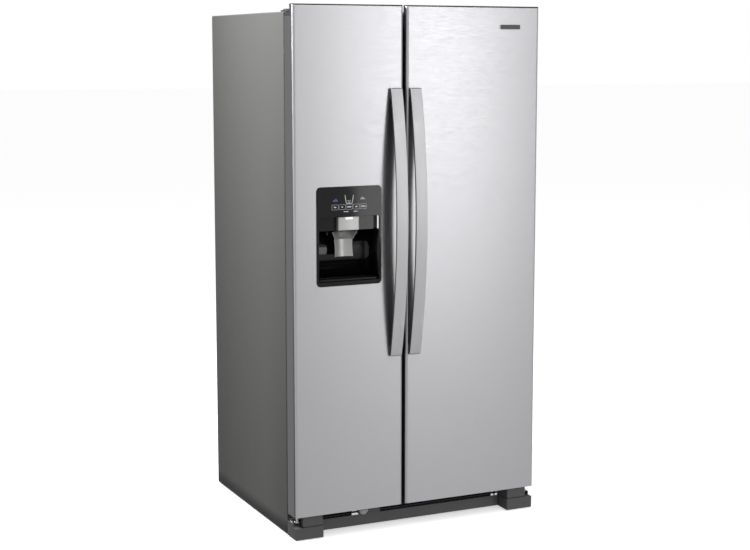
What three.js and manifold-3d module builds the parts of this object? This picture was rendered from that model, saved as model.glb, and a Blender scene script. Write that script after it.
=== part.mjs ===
// Side by side refrigerator with an ice and water dispenser in the freezer door.
// Millimetres. +Z is up, +X is the right-hand side seen from the front, and the doors face -Y.
// The origin is on the floor, in the middle of the overall width and depth.

import * as THREE from 'three';
import { mergeVertices } from 'three/addons/utils/BufferGeometryUtils.js';
import Module from 'manifold-3d';

const wasm = await Module();
wasm.setup();

// Overall size
const WIDTH = 911;
const HEIGHT = 1766;
const DEPTH = 837;
const HANDLE_REACH = 62;
const GAP = 0.3;

// Planes of the cabinet and the doors
const SIDE = WIDTH / 2;
const BACK = DEPTH / 2;
const DOOR_FRONT = -BACK + HANDLE_REACH;
const SKIN_BACK = DOOR_FRONT + 66;
const DOOR_BACK = DOOR_FRONT + 68;
const CABINET_FRONT = DOOR_FRONT + 80;
const CABINET_SIDE = SIDE - 1;
const CABINET_TOP = 1742.5;
const CABINET_BOTTOM = 100;
const SKIRT_BOTTOM = 6;
const BACK_PANEL = BACK - 9;
const SHEET = 1;

// Compartments: the clear space inside the liners
const FREEZER_X = [-404, -85];
const FRIDGE_X = [-27, 404];
const CAVITY_Z = [151.5, 1688.5];
const CAVITY_BACK = 348.5;
const STEP_FRONT = 128.5;
const STEP_TOP = 343.5;
const LINER_WALL = 1.5;
const SHELF_FRONT = -165;
const DRAWER_FRONT = -100;

// Machine compartment at the lower rear
const MACHINE_FRONT = 185;
const MACHINE_TOP = 292;
const DECK_Z = 24;

// Doors
const DOOR_BOTTOM = 80.6;
const DOOR_REAR_TOP = 1740;
const CAP_HEIGHT = 11.7;
const LIP_DEPTH = 14;
const LIP_WALL_DEPTH = 24;
const DOOR_SHEET = 1.2;
const DOOR_CORNER = 9;
const FREEZER_DOOR_X = [-SIDE, -61.5];
const FRIDGE_DOOR_X = [-50.5, SIDE];
const DIKE_BACK = DOOR_FRONT + 101.5;
const BIN_BACK = -190;
const HINGE_X = SIDE - 20;
const HINGE_Y = DOOR_FRONT + 37;
const PIN_RADIUS = 6;

// Handles
const DOOR_GAP_X = -56;
const HANDLE_OFFSET = 15;
const HANDLE_WIDTH = 41;
const HANDLE_Z = [601, 1495];
const HANDLE_THICKNESS = 13;
const HANDLE_FOOT = 34;
const HANDLE_BOW = 0.85;

// Dispenser
const DISPENSER_X = [-375.5, -141.5];
const DISPENSER_Z = [850, 1178];
const DISPENSER_MID = -258.5;
const RECESS_X = [-368, -149];
const RECESS_FLOOR = 866;
const RECESS_CEILING = 1031;
const PANEL_BOTTOM = 1078;
const RECESS_DEPTH = 78;
const CHUTE_HALF = 37.5;
const CHUTE_FRONT = DOOR_FRONT + 19;
const CHUTE_BACK = DOOR_FRONT + 75;
const BULGE_X = [-364, -127];
const BULGE_Z = [838, 1402];
const BULGE_BACK = -225.5;
const CHUTE_INLET_Z = [1326, 1388];

// Shelves, drawers and the parts of the ice maker
const LEDGE = 8;
const FREEZER_SHELF_Z = [[870, 878], [1316, 1324]];
const FRIDGE_SHELF_Z = [[850, 858], [1180, 1188]];
const CRISPER_SHELF_Z = [522, 530];
const LOW_DRAWER_Z = [165, 335];
const UPPER_CRISPER_Z = [352, 508];
const ICE_BIN = { x: [-392, -97], y: [-214, 236], z: [1326, 1500] };
const AUGER_Z = 1362;
const AUGER_RADIUS = 24;
const COVER_Y = [252, 256];
const EVAPORATOR_FAN_Z = 1180;
const FREEZER_MID = (FREEZER_X[0] + FREEZER_X[1]) / 2;

// Machine compartment parts
const ROLLER_X = 428;
const ROLLER_Y = 355;
const ROLLER_RADIUS = 22;
const AXLE_RADIUS = 4;
const FAN_Y = 300;
const FAN_Z = 120;
const FAN_X = -55;
const MOTOR_X = [-30, 5];
const COIL = { x: [-236, -176], y: [212, 392], z: [40, 226] };

// Hinges, feet and grille
const ARM_Z = [CABINET_TOP + GAP, CABINET_TOP + 3.3];
const OPEN_TURN = (150 * Math.PI) / 180;
const BRACKET_Z = [56, 59];
const LEG_X = 395.5;
const LEG_Y = -250;
const FOOT_X = [-453.5, -352.5];
const FOOT_Z = [3, 43];
const FOOT_BLOCK_X = [-427.5, -354.5];
const FOOT_BLOCK_Z = [46, 79];
const WALL = 2.5;
const GRILLE_Y = [DOOR_FRONT + 62, DOOR_FRONT + 76];
const GRILLE_Z = [6, 78];
const FILTER_X = -180;
const FILTER_Z = 59;
const FILTER_RADIUS = 16.5;

// Raised ridge of the inner door panels, and the dairy box
const DIKE_Z = [166, 1674];
const DIKE_BAND = 30;
const DAIRY_Z = [1480, 1596];
const DAIRY_BACK = -196;

// Dispenser housing and ice path
const HOUSING_X = [DISPENSER_X[0] + 4, DISPENSER_X[1] - 4];
const HOUSING_Z = [DISPENSER_Z[0] + 4, DISPENSER_Z[1] - 4];
const HOUSING_BACK = DOOR_FRONT + 82;
const PASSAGE_X = [DISPENSER_MID - CHUTE_HALF - 0.5, DISPENSER_MID + CHUTE_HALF + 0.5];
const PASSAGE_Y = [CHUTE_FRONT - 1, CHUTE_BACK + 0.5];
const PADDLE_PIVOT = [DOOR_FRONT + 68, 1020];
const CHAMBER_HALF = 75;
const FLANGE_RIM = 10;
const FLANGE_X = [DISPENSER_MID - 62, DISPENSER_MID + 62];

// Steps in a quarter turn of a rounded outline, and sides of a small round bar
const ARC_STEPS = 4;
const ROD_SIDES = 16;

const COLOURS = {
  steel: [0xc6c7ca, 0.3, 0.95],
  cabinetPaint: [0x8b8b89, 0.5, 0.3],
  charcoal: [0x47484a, 0.6, 0],
  darkPlastic: [0x2b2c2e, 0.5, 0],
  glossBlack: [0x0c0c0e, 0.12, 0],
  silver: [0xbfc0c2, 0.3, 0.8],
  white: [0xeceeee, 0.45, 0],
  foam: [0xe8dcb4, 0.9, 0],
  gasket: [0x6d7073, 0.75, 0],
  zinc: [0xb4b6b8, 0.4, 0.9],
  clear: [0xdfe9ee, 0.15, 0],
  glass: [0xcfe3e0, 0.05, 0],
  compressor: [0x161617, 0.4, 0.3],
  fin: [0xa9acae, 0.4, 0.9],
  rubber: [0x1d1d1d, 0.8, 0],
  board: [0x6b5a44, 0.85, 0],
};

const fridge = new THREE.Group();

// ---------- Shapes ----------

const AXIS_X = new THREE.Vector3(1, 0, 0);
const AXIS_Y = new THREE.Vector3(0, 1, 0);
const AXIS_Z = new THREE.Vector3(0, 0, 1);
const FROM_YZ = new THREE.Matrix4().makeBasis(AXIS_Y, AXIS_Z, AXIS_X);
const FROM_XZ = new THREE.Matrix4().makeBasis(AXIS_X, AXIS_Z, AXIS_Y.clone().negate());

function add(name, geometry, colour) {
  const [color, roughness, metalness] = COLOURS[colour];
  const mesh = new THREE.Mesh(geometry, new THREE.MeshStandardMaterial({ color, roughness, metalness }));
  mesh.name = name;
  fridge.add(mesh);
}

function box([x0, x1], [y0, y1], [z0, z1]) {
  const geometry = new THREE.BoxGeometry(x1 - x0, y1 - y0, z1 - z0);
  return geometry.translate((x0 + x1) / 2, (y0 + y1) / 2, (z0 + z1) / 2);
}

function grow([low, high], amount) {
  return [low - amount, high + amount];
}

// A span on one side of the middle, given as distances from it: side is -1 for left and 1 for right.
function sideSpan(side, near, far) {
  return side < 0 ? [-far, -near] : [near, far];
}

function outline(points) {
  return new THREE.Shape(points.map(([a, b]) => new THREE.Vector2(a, b)));
}

function roundedRect([a0, a1], [b0, b1], radius) {
  const shape = new THREE.Shape();
  shape.absarc(a1 - radius, b0 + radius, radius, -Math.PI / 2, 0);
  shape.absarc(a1 - radius, b1 - radius, radius, 0, Math.PI / 2);
  shape.absarc(a0 + radius, b1 - radius, radius, Math.PI / 2, Math.PI);
  shape.absarc(a0 + radius, b0 + radius, radius, Math.PI, 1.5 * Math.PI);
  return shape;
}

// A rectangle whose two front corners are round, as a door is seen from above.
function doorOutline([x0, x1], [y0, y1], radius) {
  const shape = new THREE.Shape();
  shape.moveTo(x1, y1);
  shape.lineTo(x0, y1);
  shape.absarc(x0 + radius, y0 + radius, radius, Math.PI, 1.5 * Math.PI);
  shape.absarc(x1 - radius, y0 + radius, radius, 1.5 * Math.PI, 2 * Math.PI);
  return shape;
}

function extrude(shape, depth) {
  return new THREE.ExtrudeGeometry(shape, { depth, bevelEnabled: false, curveSegments: ARC_STEPS });
}

function alongZ(shape, [z0, z1]) {
  return extrude(shape, z1 - z0).translate(0, 0, z0);
}

// The outline is drawn in Y and Z.
function alongX(shape, [x0, x1]) {
  return extrude(shape, x1 - x0).applyMatrix4(FROM_YZ).translate(x0, 0, 0);
}

// The outline is drawn in X and Z.
function alongY(shape, [y0, y1]) {
  return extrude(shape, y1 - y0).applyMatrix4(FROM_XZ).translate(0, y1, 0);
}

// A round bar along one axis. centre holds the other two coordinates, in X, Y, Z order.
function rod(axis, centre, [from, to], radius, sides = ROD_SIDES) {
  const geometry = new THREE.CylinderGeometry(radius, radius, to - from, sides);
  const middle = (from + to) / 2;
  if (axis === 'x') return geometry.rotateZ(-Math.PI / 2).translate(middle, centre[0], centre[1]);
  if (axis === 'y') return geometry.translate(centre[0], middle, centre[1]);
  return geometry.rotateX(Math.PI / 2).translate(centre[0], centre[1], middle);
}

// A turned body about a vertical axis, from [radius, height] points that start and end on the axis.
function turned(points, steps) {
  const profile = points.map(([r, h]) => new THREE.Vector2(r, h));
  return new THREE.LatheGeometry(profile, steps).rotateX(Math.PI / 2);
}

function toManifold(geometry) {
  const bare = geometry.clone();
  bare.deleteAttribute('normal');
  bare.deleteAttribute('uv');
  const merged = mergeVertices(bare);
  const vertProperties = Float32Array.from(merged.attributes.position.array);
  const triVerts = Uint32Array.from(merged.index.array);
  return new wasm.Manifold(new wasm.Mesh({ numProp: 3, vertProperties, triVerts }));
}

function toGeometry(manifold) {
  const { vertProperties, triVerts } = manifold.getMesh();
  const geometry = new THREE.BufferGeometry();
  geometry.setAttribute('position', new THREE.BufferAttribute(vertProperties, 3));
  geometry.setIndex(new THREE.BufferAttribute(triVerts, 1));
  return geometry;
}

function join(...geometries) {
  return toGeometry(geometries.map(toManifold).reduce((whole, piece) => whole.add(piece)));
}

function cut(base, ...tools) {
  return toGeometry(tools.map(toManifold).reduce((whole, tool) => whole.subtract(tool), toManifold(base)));
}

// The same solid on the other side of the X = 0 plane.
function mirrored(geometry) {
  const copy = geometry.index ? geometry.clone() : mergeVertices(geometry);
  const index = copy.index.array;
  for (let i = 0; i < index.length; i += 3) {
    [index[i + 1], index[i + 2]] = [index[i + 2], index[i + 1]];
  }
  return copy.scale(-1, 1, 1);
}

// Open-topped container: outer box less an inner box that passes out of the top.
function tray(x, y, z, wall) {
  return cut(box(x, y, z), box(grow(x, -wall), grow(y, -wall), [z[0] + wall, z[1] + wall]));
}

function ring(x, y, z, band) {
  return cut(box(x, y, z), box(grow(x, -band), grow(y, 1), grow(z, -band)));
}

// ---------- Cabinet ----------

function cabinetWrapper() {
  const bend = 2.5;
  const flange = [CABINET_FRONT, CABINET_FRONT + SHEET];
  const outer = alongY(
    roundedRect([-CABINET_SIDE, CABINET_SIDE], [SKIRT_BOTTOM, CABINET_TOP], bend),
    [CABINET_FRONT, BACK],
  );
  const inside = box(
    grow([-CABINET_SIDE, CABINET_SIDE], -SHEET),
    [CABINET_FRONT - 1, BACK + 1],
    [SKIRT_BOTTOM - 1, CABINET_TOP - SHEET],
  );
  const face = box(
    grow([-CABINET_SIDE, CABINET_SIDE], -SHEET / 2),
    flange,
    [CABINET_BOTTOM, CABINET_TOP - SHEET / 2],
  );
  const mouths = [FREEZER_X, FRIDGE_X].map((x) => box(x, grow(flange, 1), CAVITY_Z));
  return join(cut(outer, inside), cut(face, ...mouths));
}

// Side view of a compartment, grown outwards by a margin all round except at its open front.
function cavityProfile(front, margin) {
  const floor = CAVITY_Z[0] - margin;
  const top = CAVITY_Z[1] + margin;
  return outline([
    [front, floor],
    [STEP_FRONT + margin, floor],
    [STEP_FRONT + margin, STEP_TOP - margin],
    [CAVITY_BACK + margin, STEP_TOP - margin],
    [CAVITY_BACK + margin, top],
    [front, top],
  ]);
}

function cabinetFoam() {
  const front = CABINET_FRONT + 2;
  const sides = grow([-CABINET_SIDE, CABINET_SIDE], -SHEET - GAP);
  const body = alongX(
    outline([
      [front, CABINET_BOTTOM + 0.5],
      [MACHINE_FRONT, CABINET_BOTTOM + 0.5],
      [MACHINE_FRONT, MACHINE_TOP],
      [BACK_PANEL - GAP, MACHINE_TOP],
      [BACK_PANEL - GAP, CABINET_TOP - SHEET - GAP],
      [front, CABINET_TOP - SHEET - GAP],
    ]),
    sides,
  );
  const margin = LINER_WALL + GAP;
  const profile = cavityProfile(front - 1, margin);
  const cavities = [FREEZER_X, FRIDGE_X].map((x) => alongX(profile, grow(x, margin)));
  return cut(body, ...cavities);
}

// Ledges that carry a shelf or drawer on both side walls of a compartment.
function ledges(x, y, z, width) {
  return [box([x[0] - 0.5, x[0] + width], y, z), box([x[1] - width, x[1] + 0.5], y, z)];
}

function liner(x, supports) {
  const front = CABINET_FRONT + SHEET + GAP;
  const shell = cut(
    alongX(cavityProfile(front, LINER_WALL), grow(x, LINER_WALL)),
    alongX(cavityProfile(front - 1, 0), x),
  );
  return join(shell, ...supports);
}

function under(z, thickness) {
  return [z[0] - 0.5 - thickness, z[0] - 0.5];
}

function floorRails(x) {
  const rail = 10;
  const inset = 14;
  const y = [CABINET_FRONT + 30, STEP_FRONT - 5];
  const z = [CAVITY_Z[0] - 0.5, LOW_DRAWER_Z[0] - 0.5];
  return [
    box([x[0] + inset, x[0] + inset + rail], y, z),
    box([x[1] - inset - rail, x[1] - inset], y, z),
  ];
}

function freezerLiner() {
  const y = [SHELF_FRONT + 10, 250];
  const shelves = FREEZER_SHELF_Z.flatMap((z) => ledges(FREEZER_X, y, under(z, LEDGE), LEDGE));
  return liner(FREEZER_X, [...shelves, ...floorRails(FREEZER_X)]);
}

function fridgeLiner() {
  const y = [SHELF_FRONT + 10, 335];
  const heights = [...FRIDGE_SHELF_Z, CRISPER_SHELF_Z];
  const shelves = heights.flatMap((z) => ledges(FRIDGE_X, y, under(z, LEDGE), LEDGE));
  const runners = ledges(FRIDGE_X, [CABINET_FRONT + 30, STEP_FRONT - 5], under(UPPER_CRISPER_Z, 10), 12);
  return liner(FRIDGE_X, [...shelves, ...runners, ...floorRails(FRIDGE_X)]);
}

function baseDeck() {
  const t = 2;
  const low = DECK_Z - t;
  const top = CABINET_BOTTOM - 1;
  const sheet = alongX(
    outline([
      [BACK_PANEL - 12, low],
      [MACHINE_FRONT - 3, low],
      [MACHINE_FRONT - 3, top - t],
      [CABINET_FRONT + 16, top - t],
      [CABINET_FRONT + 16, top],
      [MACHINE_FRONT - 1, top],
      [MACHINE_FRONT - 1, DECK_Z],
      [BACK_PANEL - 12, DECK_Z],
    ]),
    grow([-CABINET_SIDE, CABINET_SIDE], -SHEET - 0.5),
  );
  const cutting = [low - 1, DECK_Z + 1];
  const wells = [-1, 1].flatMap((side) => [
    box(sideSpan(side, 410, 446), [ROLLER_Y - 30, ROLLER_Y + 30], cutting),
    box(sideSpan(side, 404, 452), [ROLLER_Y - 6, ROLLER_Y + 6], cutting),
  ]);
  const cheeks = [-1, 1].flatMap((side) => [408, 446].map((x) => cut(
    box(sideSpan(side, x, x + t), [ROLLER_Y - 15, ROLLER_Y + 15], [12, 70]),
    rod('x', [ROLLER_Y, ROLLER_RADIUS], sideSpan(side, x - 1, x + t + 1), AXLE_RADIUS + 0.6),
  )));
  const motor = rod('x', [FAN_Y, FAN_Z], MOTOR_X, 18);
  const post = box([MOTOR_X[0] + 6, MOTOR_X[1] - 6], [FAN_Y - 5, FAN_Y + 5], [low + 1, FAN_Z]);
  return join(cut(sheet, ...wells), ...cheeks, motor, post);
}

// Wheel with a stub axle on both faces, on a left-to-right axis.
function roller(side) {
  return join(
    rod('x', [ROLLER_Y, ROLLER_RADIUS], sideSpan(side, ROLLER_X - 14, ROLLER_X + 14), ROLLER_RADIUS, 28),
    rod('x', [ROLLER_Y, ROLLER_RADIUS], sideSpan(side, 405, 451), AXLE_RADIUS, 12),
  );
}

function machineCover() {
  const plate = box(
    grow([-CABINET_SIDE, CABINET_SIDE], -6),
    [BACK_PANEL - 4, BACK_PANEL - 2],
    [30, MACHINE_TOP - 1],
  );
  const slots = [];
  for (const z of [[70, 130], [160, 220]]) {
    for (let i = -4; i <= 4; i += 1) {
      slots.push(box([i * 80 - 22, i * 80 + 22], [BACK_PANEL - 5, BACK_PANEL - 1], z));
    }
  }
  const gland = rod('y', [330, 262], [BACK_PANEL - 3, BACK_PANEL + 5], 10);
  const bore = rod('y', [330, 262], [BACK_PANEL - 1, BACK_PANEL + 6], 4.5);
  return cut(join(cut(plate, ...slots), gland), bore);
}

function compressor() {
  const shell = turned([
    [0, 40],
    [52, 42],
    [74, 62],
    [78, 96],
    [78, 128],
    [72, 162],
    [50, 184],
    [0, 192],
  ], 24).translate(190, 290, 0);
  const feet = box([95, 285], [255, 325], [DECK_Z + GAP, 46]);
  const terminalBox = box([255, 292], [265, 315], [90, 150]);
  return join(shell, feet, terminalBox);
}

// Outer shape of the block of wire and tube layers, with its two feet and its two pipe ends.
function condenserCoil() {
  const { x, y, z } = COIL;
  const core = box(x, y, z);
  const feet = [y[0] + 12, y[1] - 24].map((from) => box(x, [from, from + 12], [DECK_Z + GAP, z[0] + 1]));
  const endSpan = [x[0] - 22, x[0] + 1];
  const ends = [z[0] + 30, z[1] - 30].map((height) => rod('x', [y[0] + 20, height], endSpan, 4, 8));
  return join(core, ...feet, ...ends);
}

// Four pitched blades on a hub. The axis runs through the origin along X.
function fanWheel(radius, width) {
  const hub = rod('x', [0, 0], [-width / 2, width / 2], 15);
  const blades = [0, 1, 2, 3].map((i) => {
    const blade = box([-1, 1], [-16, 16], [10, radius]);
    return blade.rotateZ(0.5).rotateX((i * Math.PI) / 2);
  });
  return join(hub, ...blades);
}

// ---------- Hinges, feet and grille ----------

// Hinge arm seen from above, on the left: round about the pin, then a neck that passes the open door's lip
// on the inner side, then a foot on the cabinet's top. The pin is at the origin.
function hingeArmOutline(margin) {
  const shape = new THREE.Shape();
  const radius = 8 + margin;
  shape.absarc(0, 0, radius, OPEN_TURN, 2 * Math.PI);
  shape.lineTo(24 + margin, 12 - margin);
  shape.lineTo(24 + margin, 46 - margin);
  shape.lineTo(52 + margin, 50 - margin);
  shape.lineTo(52 + margin, 88 + margin);
  shape.lineTo(-6 - margin, 88 + margin);
  shape.lineTo(-6 - margin, 46 - margin);
  shape.lineTo(4 - margin, 30);
  shape.lineTo(4 - margin, 24);
  return shape;
}

function topHinge() {
  const arm = alongZ(hingeArmOutline(0), ARM_Z);
  const pin = rod('z', [0, 0], [DOOR_REAR_TOP - CAP_HEIGHT + 1.5, ARM_Z[0] + 1], PIN_RADIUS);
  return join(arm, pin).translate(-HINGE_X, HINGE_Y, 0);
}

function topHingeCover() {
  const wall = 1.5;
  const ceiling = ARM_Z[1] + 0.4;
  const outer = alongZ(hingeArmOutline(wall + 0.5), [ARM_Z[0], ceiling + wall]);
  const inner = alongZ(hingeArmOutline(0.5), [ARM_Z[0] - 1, ceiling]);
  return cut(outer, inner).translate(-HINGE_X, HINGE_Y, 0);
}

// Bracket under the left door: a plate with the lower hinge pin and the hole for the levelling leg.
function bottomHinge() {
  const plate = new THREE.Shape();
  plate.absarc(-HINGE_X, HINGE_Y, 13, Math.PI, 2 * Math.PI);
  plate.lineTo(-365, CABINET_FRONT);
  plate.lineTo(-365, LEG_Y + 22);
  plate.lineTo(-HINGE_X - 13, LEG_Y + 22);
  const bracket = cut(alongZ(plate, BRACKET_Z), rod('z', [-LEG_X, LEG_Y], grow(BRACKET_Z, 1), 6.6));
  const upstand = box(
    [-HINGE_X - 12, -366],
    [CABINET_FRONT + 2, CABINET_FRONT + 5],
    [BRACKET_Z[0] + 1, 96],
  );
  const barrel = rod('z', [-HINGE_X, HINGE_Y], [BRACKET_Z[1] - 1, 79], 8.5);
  const pin = rod('z', [-HINGE_X, HINGE_Y], [78, 91], PIN_RADIUS);
  return join(bracket, upstand, barrel, pin);
}

function levellingLeg() {
  const foot = turned([[0, 0], [15, 0], [17, 3], [17, 8], [8, 11], [6, 12], [6, 92], [0, 92]], ROD_SIDES);
  return foot.translate(-LEG_X, LEG_Y, 0);
}

// Moulded cover of the left front corner: a low box in line with the door, and a block above it
// that closes the space under the door. A groove parts the two at the front.
function footCover() {
  const front = DOOR_FRONT + 3;
  const back = CABINET_FRONT - 1.5;
  const low = cut(
    box(FOOT_X, [front, back], FOOT_Z),
    box(grow(FOOT_X, -WALL), [front + WALL, back + 1], [FOOT_Z[0] - 1, FOOT_Z[1] - WALL]),
  );
  const cheek = box([FOOT_X[0], FOOT_X[0] + WALL], [front + 22, back], [FOOT_Z[1] - 1, 54]);
  const block = cut(
    box(FOOT_BLOCK_X, [front + 2, HINGE_Y - 15], FOOT_BLOCK_Z),
    box(
      grow(FOOT_BLOCK_X, -WALL),
      [front + 2 + WALL, HINGE_Y],
      [FOOT_BLOCK_Z[0] - 1, FOOT_BLOCK_Z[1] - WALL],
    ),
  );
  const innerWall = box(
    [FOOT_BLOCK_X[1] - WALL, FOOT_BLOCK_X[1]],
    [front + 2 + WALL, back],
    [FOOT_Z[1] - 1, FOOT_BLOCK_Z[1]],
  );
  return join(low, cheek, block, innerWall);
}

function baseGrille() {
  const x = [-351.5, 351.5];
  const shell = cut(
    box(x, GRILLE_Y, GRILLE_Z),
    box(grow(x, -WALL), [GRILLE_Y[0] + WALL, GRILLE_Y[1] + 1], grow(GRILLE_Z, -WALL)),
  );
  const through = [GRILLE_Y[0] - 1, GRILLE_Y[0] + WALL + 1];
  const slot = (span, z) => box(span, through, z);
  const leftSlots = [[46, 51], [54, 59]].map((z) => slot([-345, -204], z));
  const rightSlots = [[46, 51], [54, 59], [62, 67], [70, 75]].map((z) => slot([-116, 345], z));
  const port = rod('y', [FILTER_X, FILTER_Z], through, FILTER_RADIUS + 1, 24);
  return cut(shell, ...leftSlots, ...rightSlots, port);
}

function waterFilter() {
  const knob = rod('y', [FILTER_X, FILTER_Z], [GRILLE_Y[0] - 6, GRILLE_Y[0] + 24], FILTER_RADIUS, 24);
  const cartridge = rod('y', [FILTER_X, FILTER_Z], [GRILLE_Y[0] + 23, -60], FILTER_RADIUS - 1.5, 24);
  const grip = box(
    [FILTER_X - 13, FILTER_X + 13],
    [GRILLE_Y[0] - 12, GRILLE_Y[0] - 5],
    grow([FILTER_Z, FILTER_Z], 3),
  );
  return join(knob, cartridge, grip);
}

// ---------- Inside the compartments ----------

function evaporatorCover() {
  const panel = box(grow(FREEZER_X, -2), COVER_Y, [STEP_TOP + 1, CAVITY_Z[1] - 1]);
  const slot = (z, half) => box([FREEZER_MID - half, FREEZER_MID + half], grow(COVER_Y, 1), [z, z + 7]);
  const fanSlots = [-36, -18, 0, 18, 36].map((dz) => slot(EVAPORATOR_FAN_Z + dz, 60 - Math.abs(dz) / 2));
  const returnSlots = [400, 418, 436].map((z) => slot(z, 110));
  const motor = rod('y', [FREEZER_MID, EVAPORATOR_FAN_Z], [300, 330], 18);
  const strip = grow([EVAPORATOR_FAN_Z, EVAPORATOR_FAN_Z], 5);
  const legs = [-1, 1].map((side) => box(
    grow([FREEZER_MID + side * 68, FREEZER_MID + side * 68], 3),
    [COVER_Y[0] + 1, 322],
    strip,
  ));
  const bridge = box([FREEZER_MID - 70, FREEZER_MID + 70], [316, 322], strip);
  return join(cut(panel, ...fanSlots, ...returnSlots), motor, ...legs, bridge);
}

// Ice bin with an outlet low in its front, over the door's chute.
function iceBin() {
  const { x, y, z } = ICE_BIN;
  const outlet = box([DISPENSER_MID - 34, DISPENSER_MID + 34], [y[0] - 1, y[0] + 6], [z[0] + 6, z[0] + 58]);
  return cut(tray(x, y, z, 3.5), outlet);
}

// A bent-wire auger: a core bar with paddles set round it a third of a turn apart.
function iceAuger() {
  const y = [ICE_BIN.y[0] + 12, ICE_BIN.y[1] - 8];
  const core = rod('y', [0, 0], y, 5, 10);
  const pitch = 32;
  const paddles = [];
  for (let i = 0; i < 12; i += 1) {
    const from = y[0] + 18 + i * pitch;
    const paddle = box([-3, 3], [from, from + 5], [-AUGER_RADIUS, AUGER_RADIUS]);
    paddles.push(paddle.rotateY((i * Math.PI) / 3));
  }
  return join(core, ...paddles).translate(DISPENSER_MID, 0, AUGER_Z);
}

function iceMaker() {
  const head = box([-388, -352], [-70, 30], [1560, 1668]);
  const trough = alongX(roundedRect([-62, 22], [1570, 1640], 30), [-353, -108]);
  const pockets = [];
  for (let i = 0; i < 7; i += 1) {
    pockets.push(box([-344 + i * 34, -318 + i * 34], [-52, 12], [1600, 1642]));
  }
  const hanger = box([-353, -108], [20, 26], [1600, 1680]);
  return join(head, cut(trough, ...pockets), hanger);
}

function glassShelf(x, y, z) {
  return box([x[0] + 2, x[1] - 2], y, z);
}

// Drawer with a thicker front and a finger lip along its top edge.
function drawer(x, y, z) {
  const span = grow(x, -7);
  const lip = box(grow(span, -40), [y[0] - 14, y[0] + 1], [z[1] - 16, z[1] - 12]);
  const rim = box(grow(span, -40), [y[0] - 14, y[0] - 11], [z[1] - 26, z[1] - 12]);
  return join(tray(span, y, z, 3), lip, rim);
}

// ---------- Doors ----------

function doorSkin(x) {
  const outer = alongZ(doorOutline(x, [DOOR_FRONT, SKIN_BACK], DOOR_CORNER), [DOOR_BOTTOM, HEIGHT]);
  const inside = alongZ(
    doorOutline(grow(x, -DOOR_SHEET), [DOOR_FRONT + DOOR_SHEET, SKIN_BACK + 1], DOOR_CORNER - DOOR_SHEET),
    [DOOR_BOTTOM - 1, HEIGHT + 1],
  );
  const notch = box(
    grow(x, 1),
    [DOOR_FRONT + LIP_DEPTH, SKIN_BACK + 1],
    [DOOR_REAR_TOP - CAP_HEIGHT - GAP, HEIGHT + 1],
  );
  return cut(outer, inside, notch);
}

// Space inside the skin, from one height to another.
function doorFill(x, z, back) {
  const inset = DOOR_SHEET + GAP;
  return alongZ(doorOutline(grow(x, -inset), [DOOR_FRONT + inset, back], DOOR_CORNER - inset), z);
}

function doorFoam(x) {
  return doorFill(x, [92.3, DOOR_REAR_TOP - CAP_HEIGHT - 0.6], SKIN_BACK - GAP);
}

function hingeX(side) {
  return side * HINGE_X;
}

function topCap(x, side) {
  const low = DOOR_REAR_TOP - CAP_HEIGHT;
  const edge = DOOR_FRONT + LIP_DEPTH + GAP;
  const wallBack = DOOR_FRONT + LIP_WALL_DEPTH;
  const body = alongX(
    outline([
      [edge, low],
      [DOOR_BACK - 0.6, low],
      [DOOR_BACK - 0.6, DOOR_REAR_TOP],
      [wallBack + 1, DOOR_REAR_TOP],
      [wallBack, DOOR_REAR_TOP + 4],
      [wallBack, HEIGHT - 1],
      [edge, HEIGHT - 1],
    ]),
    x,
  );
  const filler = doorFill(x, [low, HEIGHT - 1], edge + 1);
  const bush = rod('z', [hingeX(side), HINGE_Y], grow([low, DOOR_REAR_TOP], 1), PIN_RADIUS + 0.5);
  return cut(join(body, filler), bush);
}

function bottomCap(x, side) {
  const bush = rod('z', [hingeX(side), HINGE_Y], [DOOR_BOTTOM - 1, 93], PIN_RADIUS + 0.5);
  return cut(doorFill(x, [DOOR_BOTTOM + 0.4, 92], SKIN_BACK - GAP), bush);
}

function dikeSpan(opening) {
  return grow(opening, -13);
}

// Inner panel with the raised ridge that holds the bins.
function doorLiner(x, opening) {
  const plate = box(grow(x, -2), [SKIN_BACK + GAP, DOOR_BACK], [DOOR_BOTTOM + 4, DOOR_REAR_TOP - 14]);
  const dike = ring(dikeSpan(opening), [DOOR_BACK - 0.5, DIKE_BACK], DIKE_Z, DIKE_BAND);
  return join(plate, dike);
}

// Magnetic seal, a soft ring between the door and the cabinet face.
function gasket(x, opening, side) {
  const hingeEdge = side < 0 ? -HINGE_X + 3 : x[0] + 2;
  const freeEdge = side < 0 ? x[1] - 2 : HINGE_X - 3;
  const z = [CAVITY_Z[0] - 32, CAVITY_Z[1] + 32];
  const y = [DOOR_BACK + GAP, CABINET_FRONT - GAP];
  const hollow = box(grow(opening, 3), grow(y, 1), grow(CAVITY_Z, 6));
  return cut(box([hingeEdge, freeEdge], y, z), hollow);
}

// Bowed strap handle, flat against the door at both ends.
function handle(side) {
  const steps = 24;
  const [low, high] = HANDLE_Z;
  const rise = HANDLE_REACH - HANDLE_THICKNESS;
  const bow = (z) => Math.max(0, Math.sin((Math.PI * (z - low)) / (high - low))) ** HANDLE_BOW;
  const face = (z) => DOOR_FRONT - HANDLE_THICKNESS - rise * bow(z);
  const inner = grow(HANDLE_Z, -HANDLE_FOOT);
  const front = [];
  const back = [];
  for (let i = 0; i <= steps; i += 1) {
    const up = low + ((high - low) * i) / steps;
    const down = inner[1] - ((inner[1] - inner[0]) * i) / steps;
    front.push([face(up), up]);
    back.push([Math.min(face(down) + HANDLE_THICKNESS, DOOR_FRONT - GAP), down]);
  }
  const points = [...front, [DOOR_FRONT - GAP, high], ...back, [DOOR_FRONT - GAP, low]];
  const near = DOOR_GAP_X + side * HANDLE_OFFSET;
  const far = near + side * HANDLE_WIDTH;
  return alongX(outline(points), [Math.min(near, far), Math.max(near, far)]);
}

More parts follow.
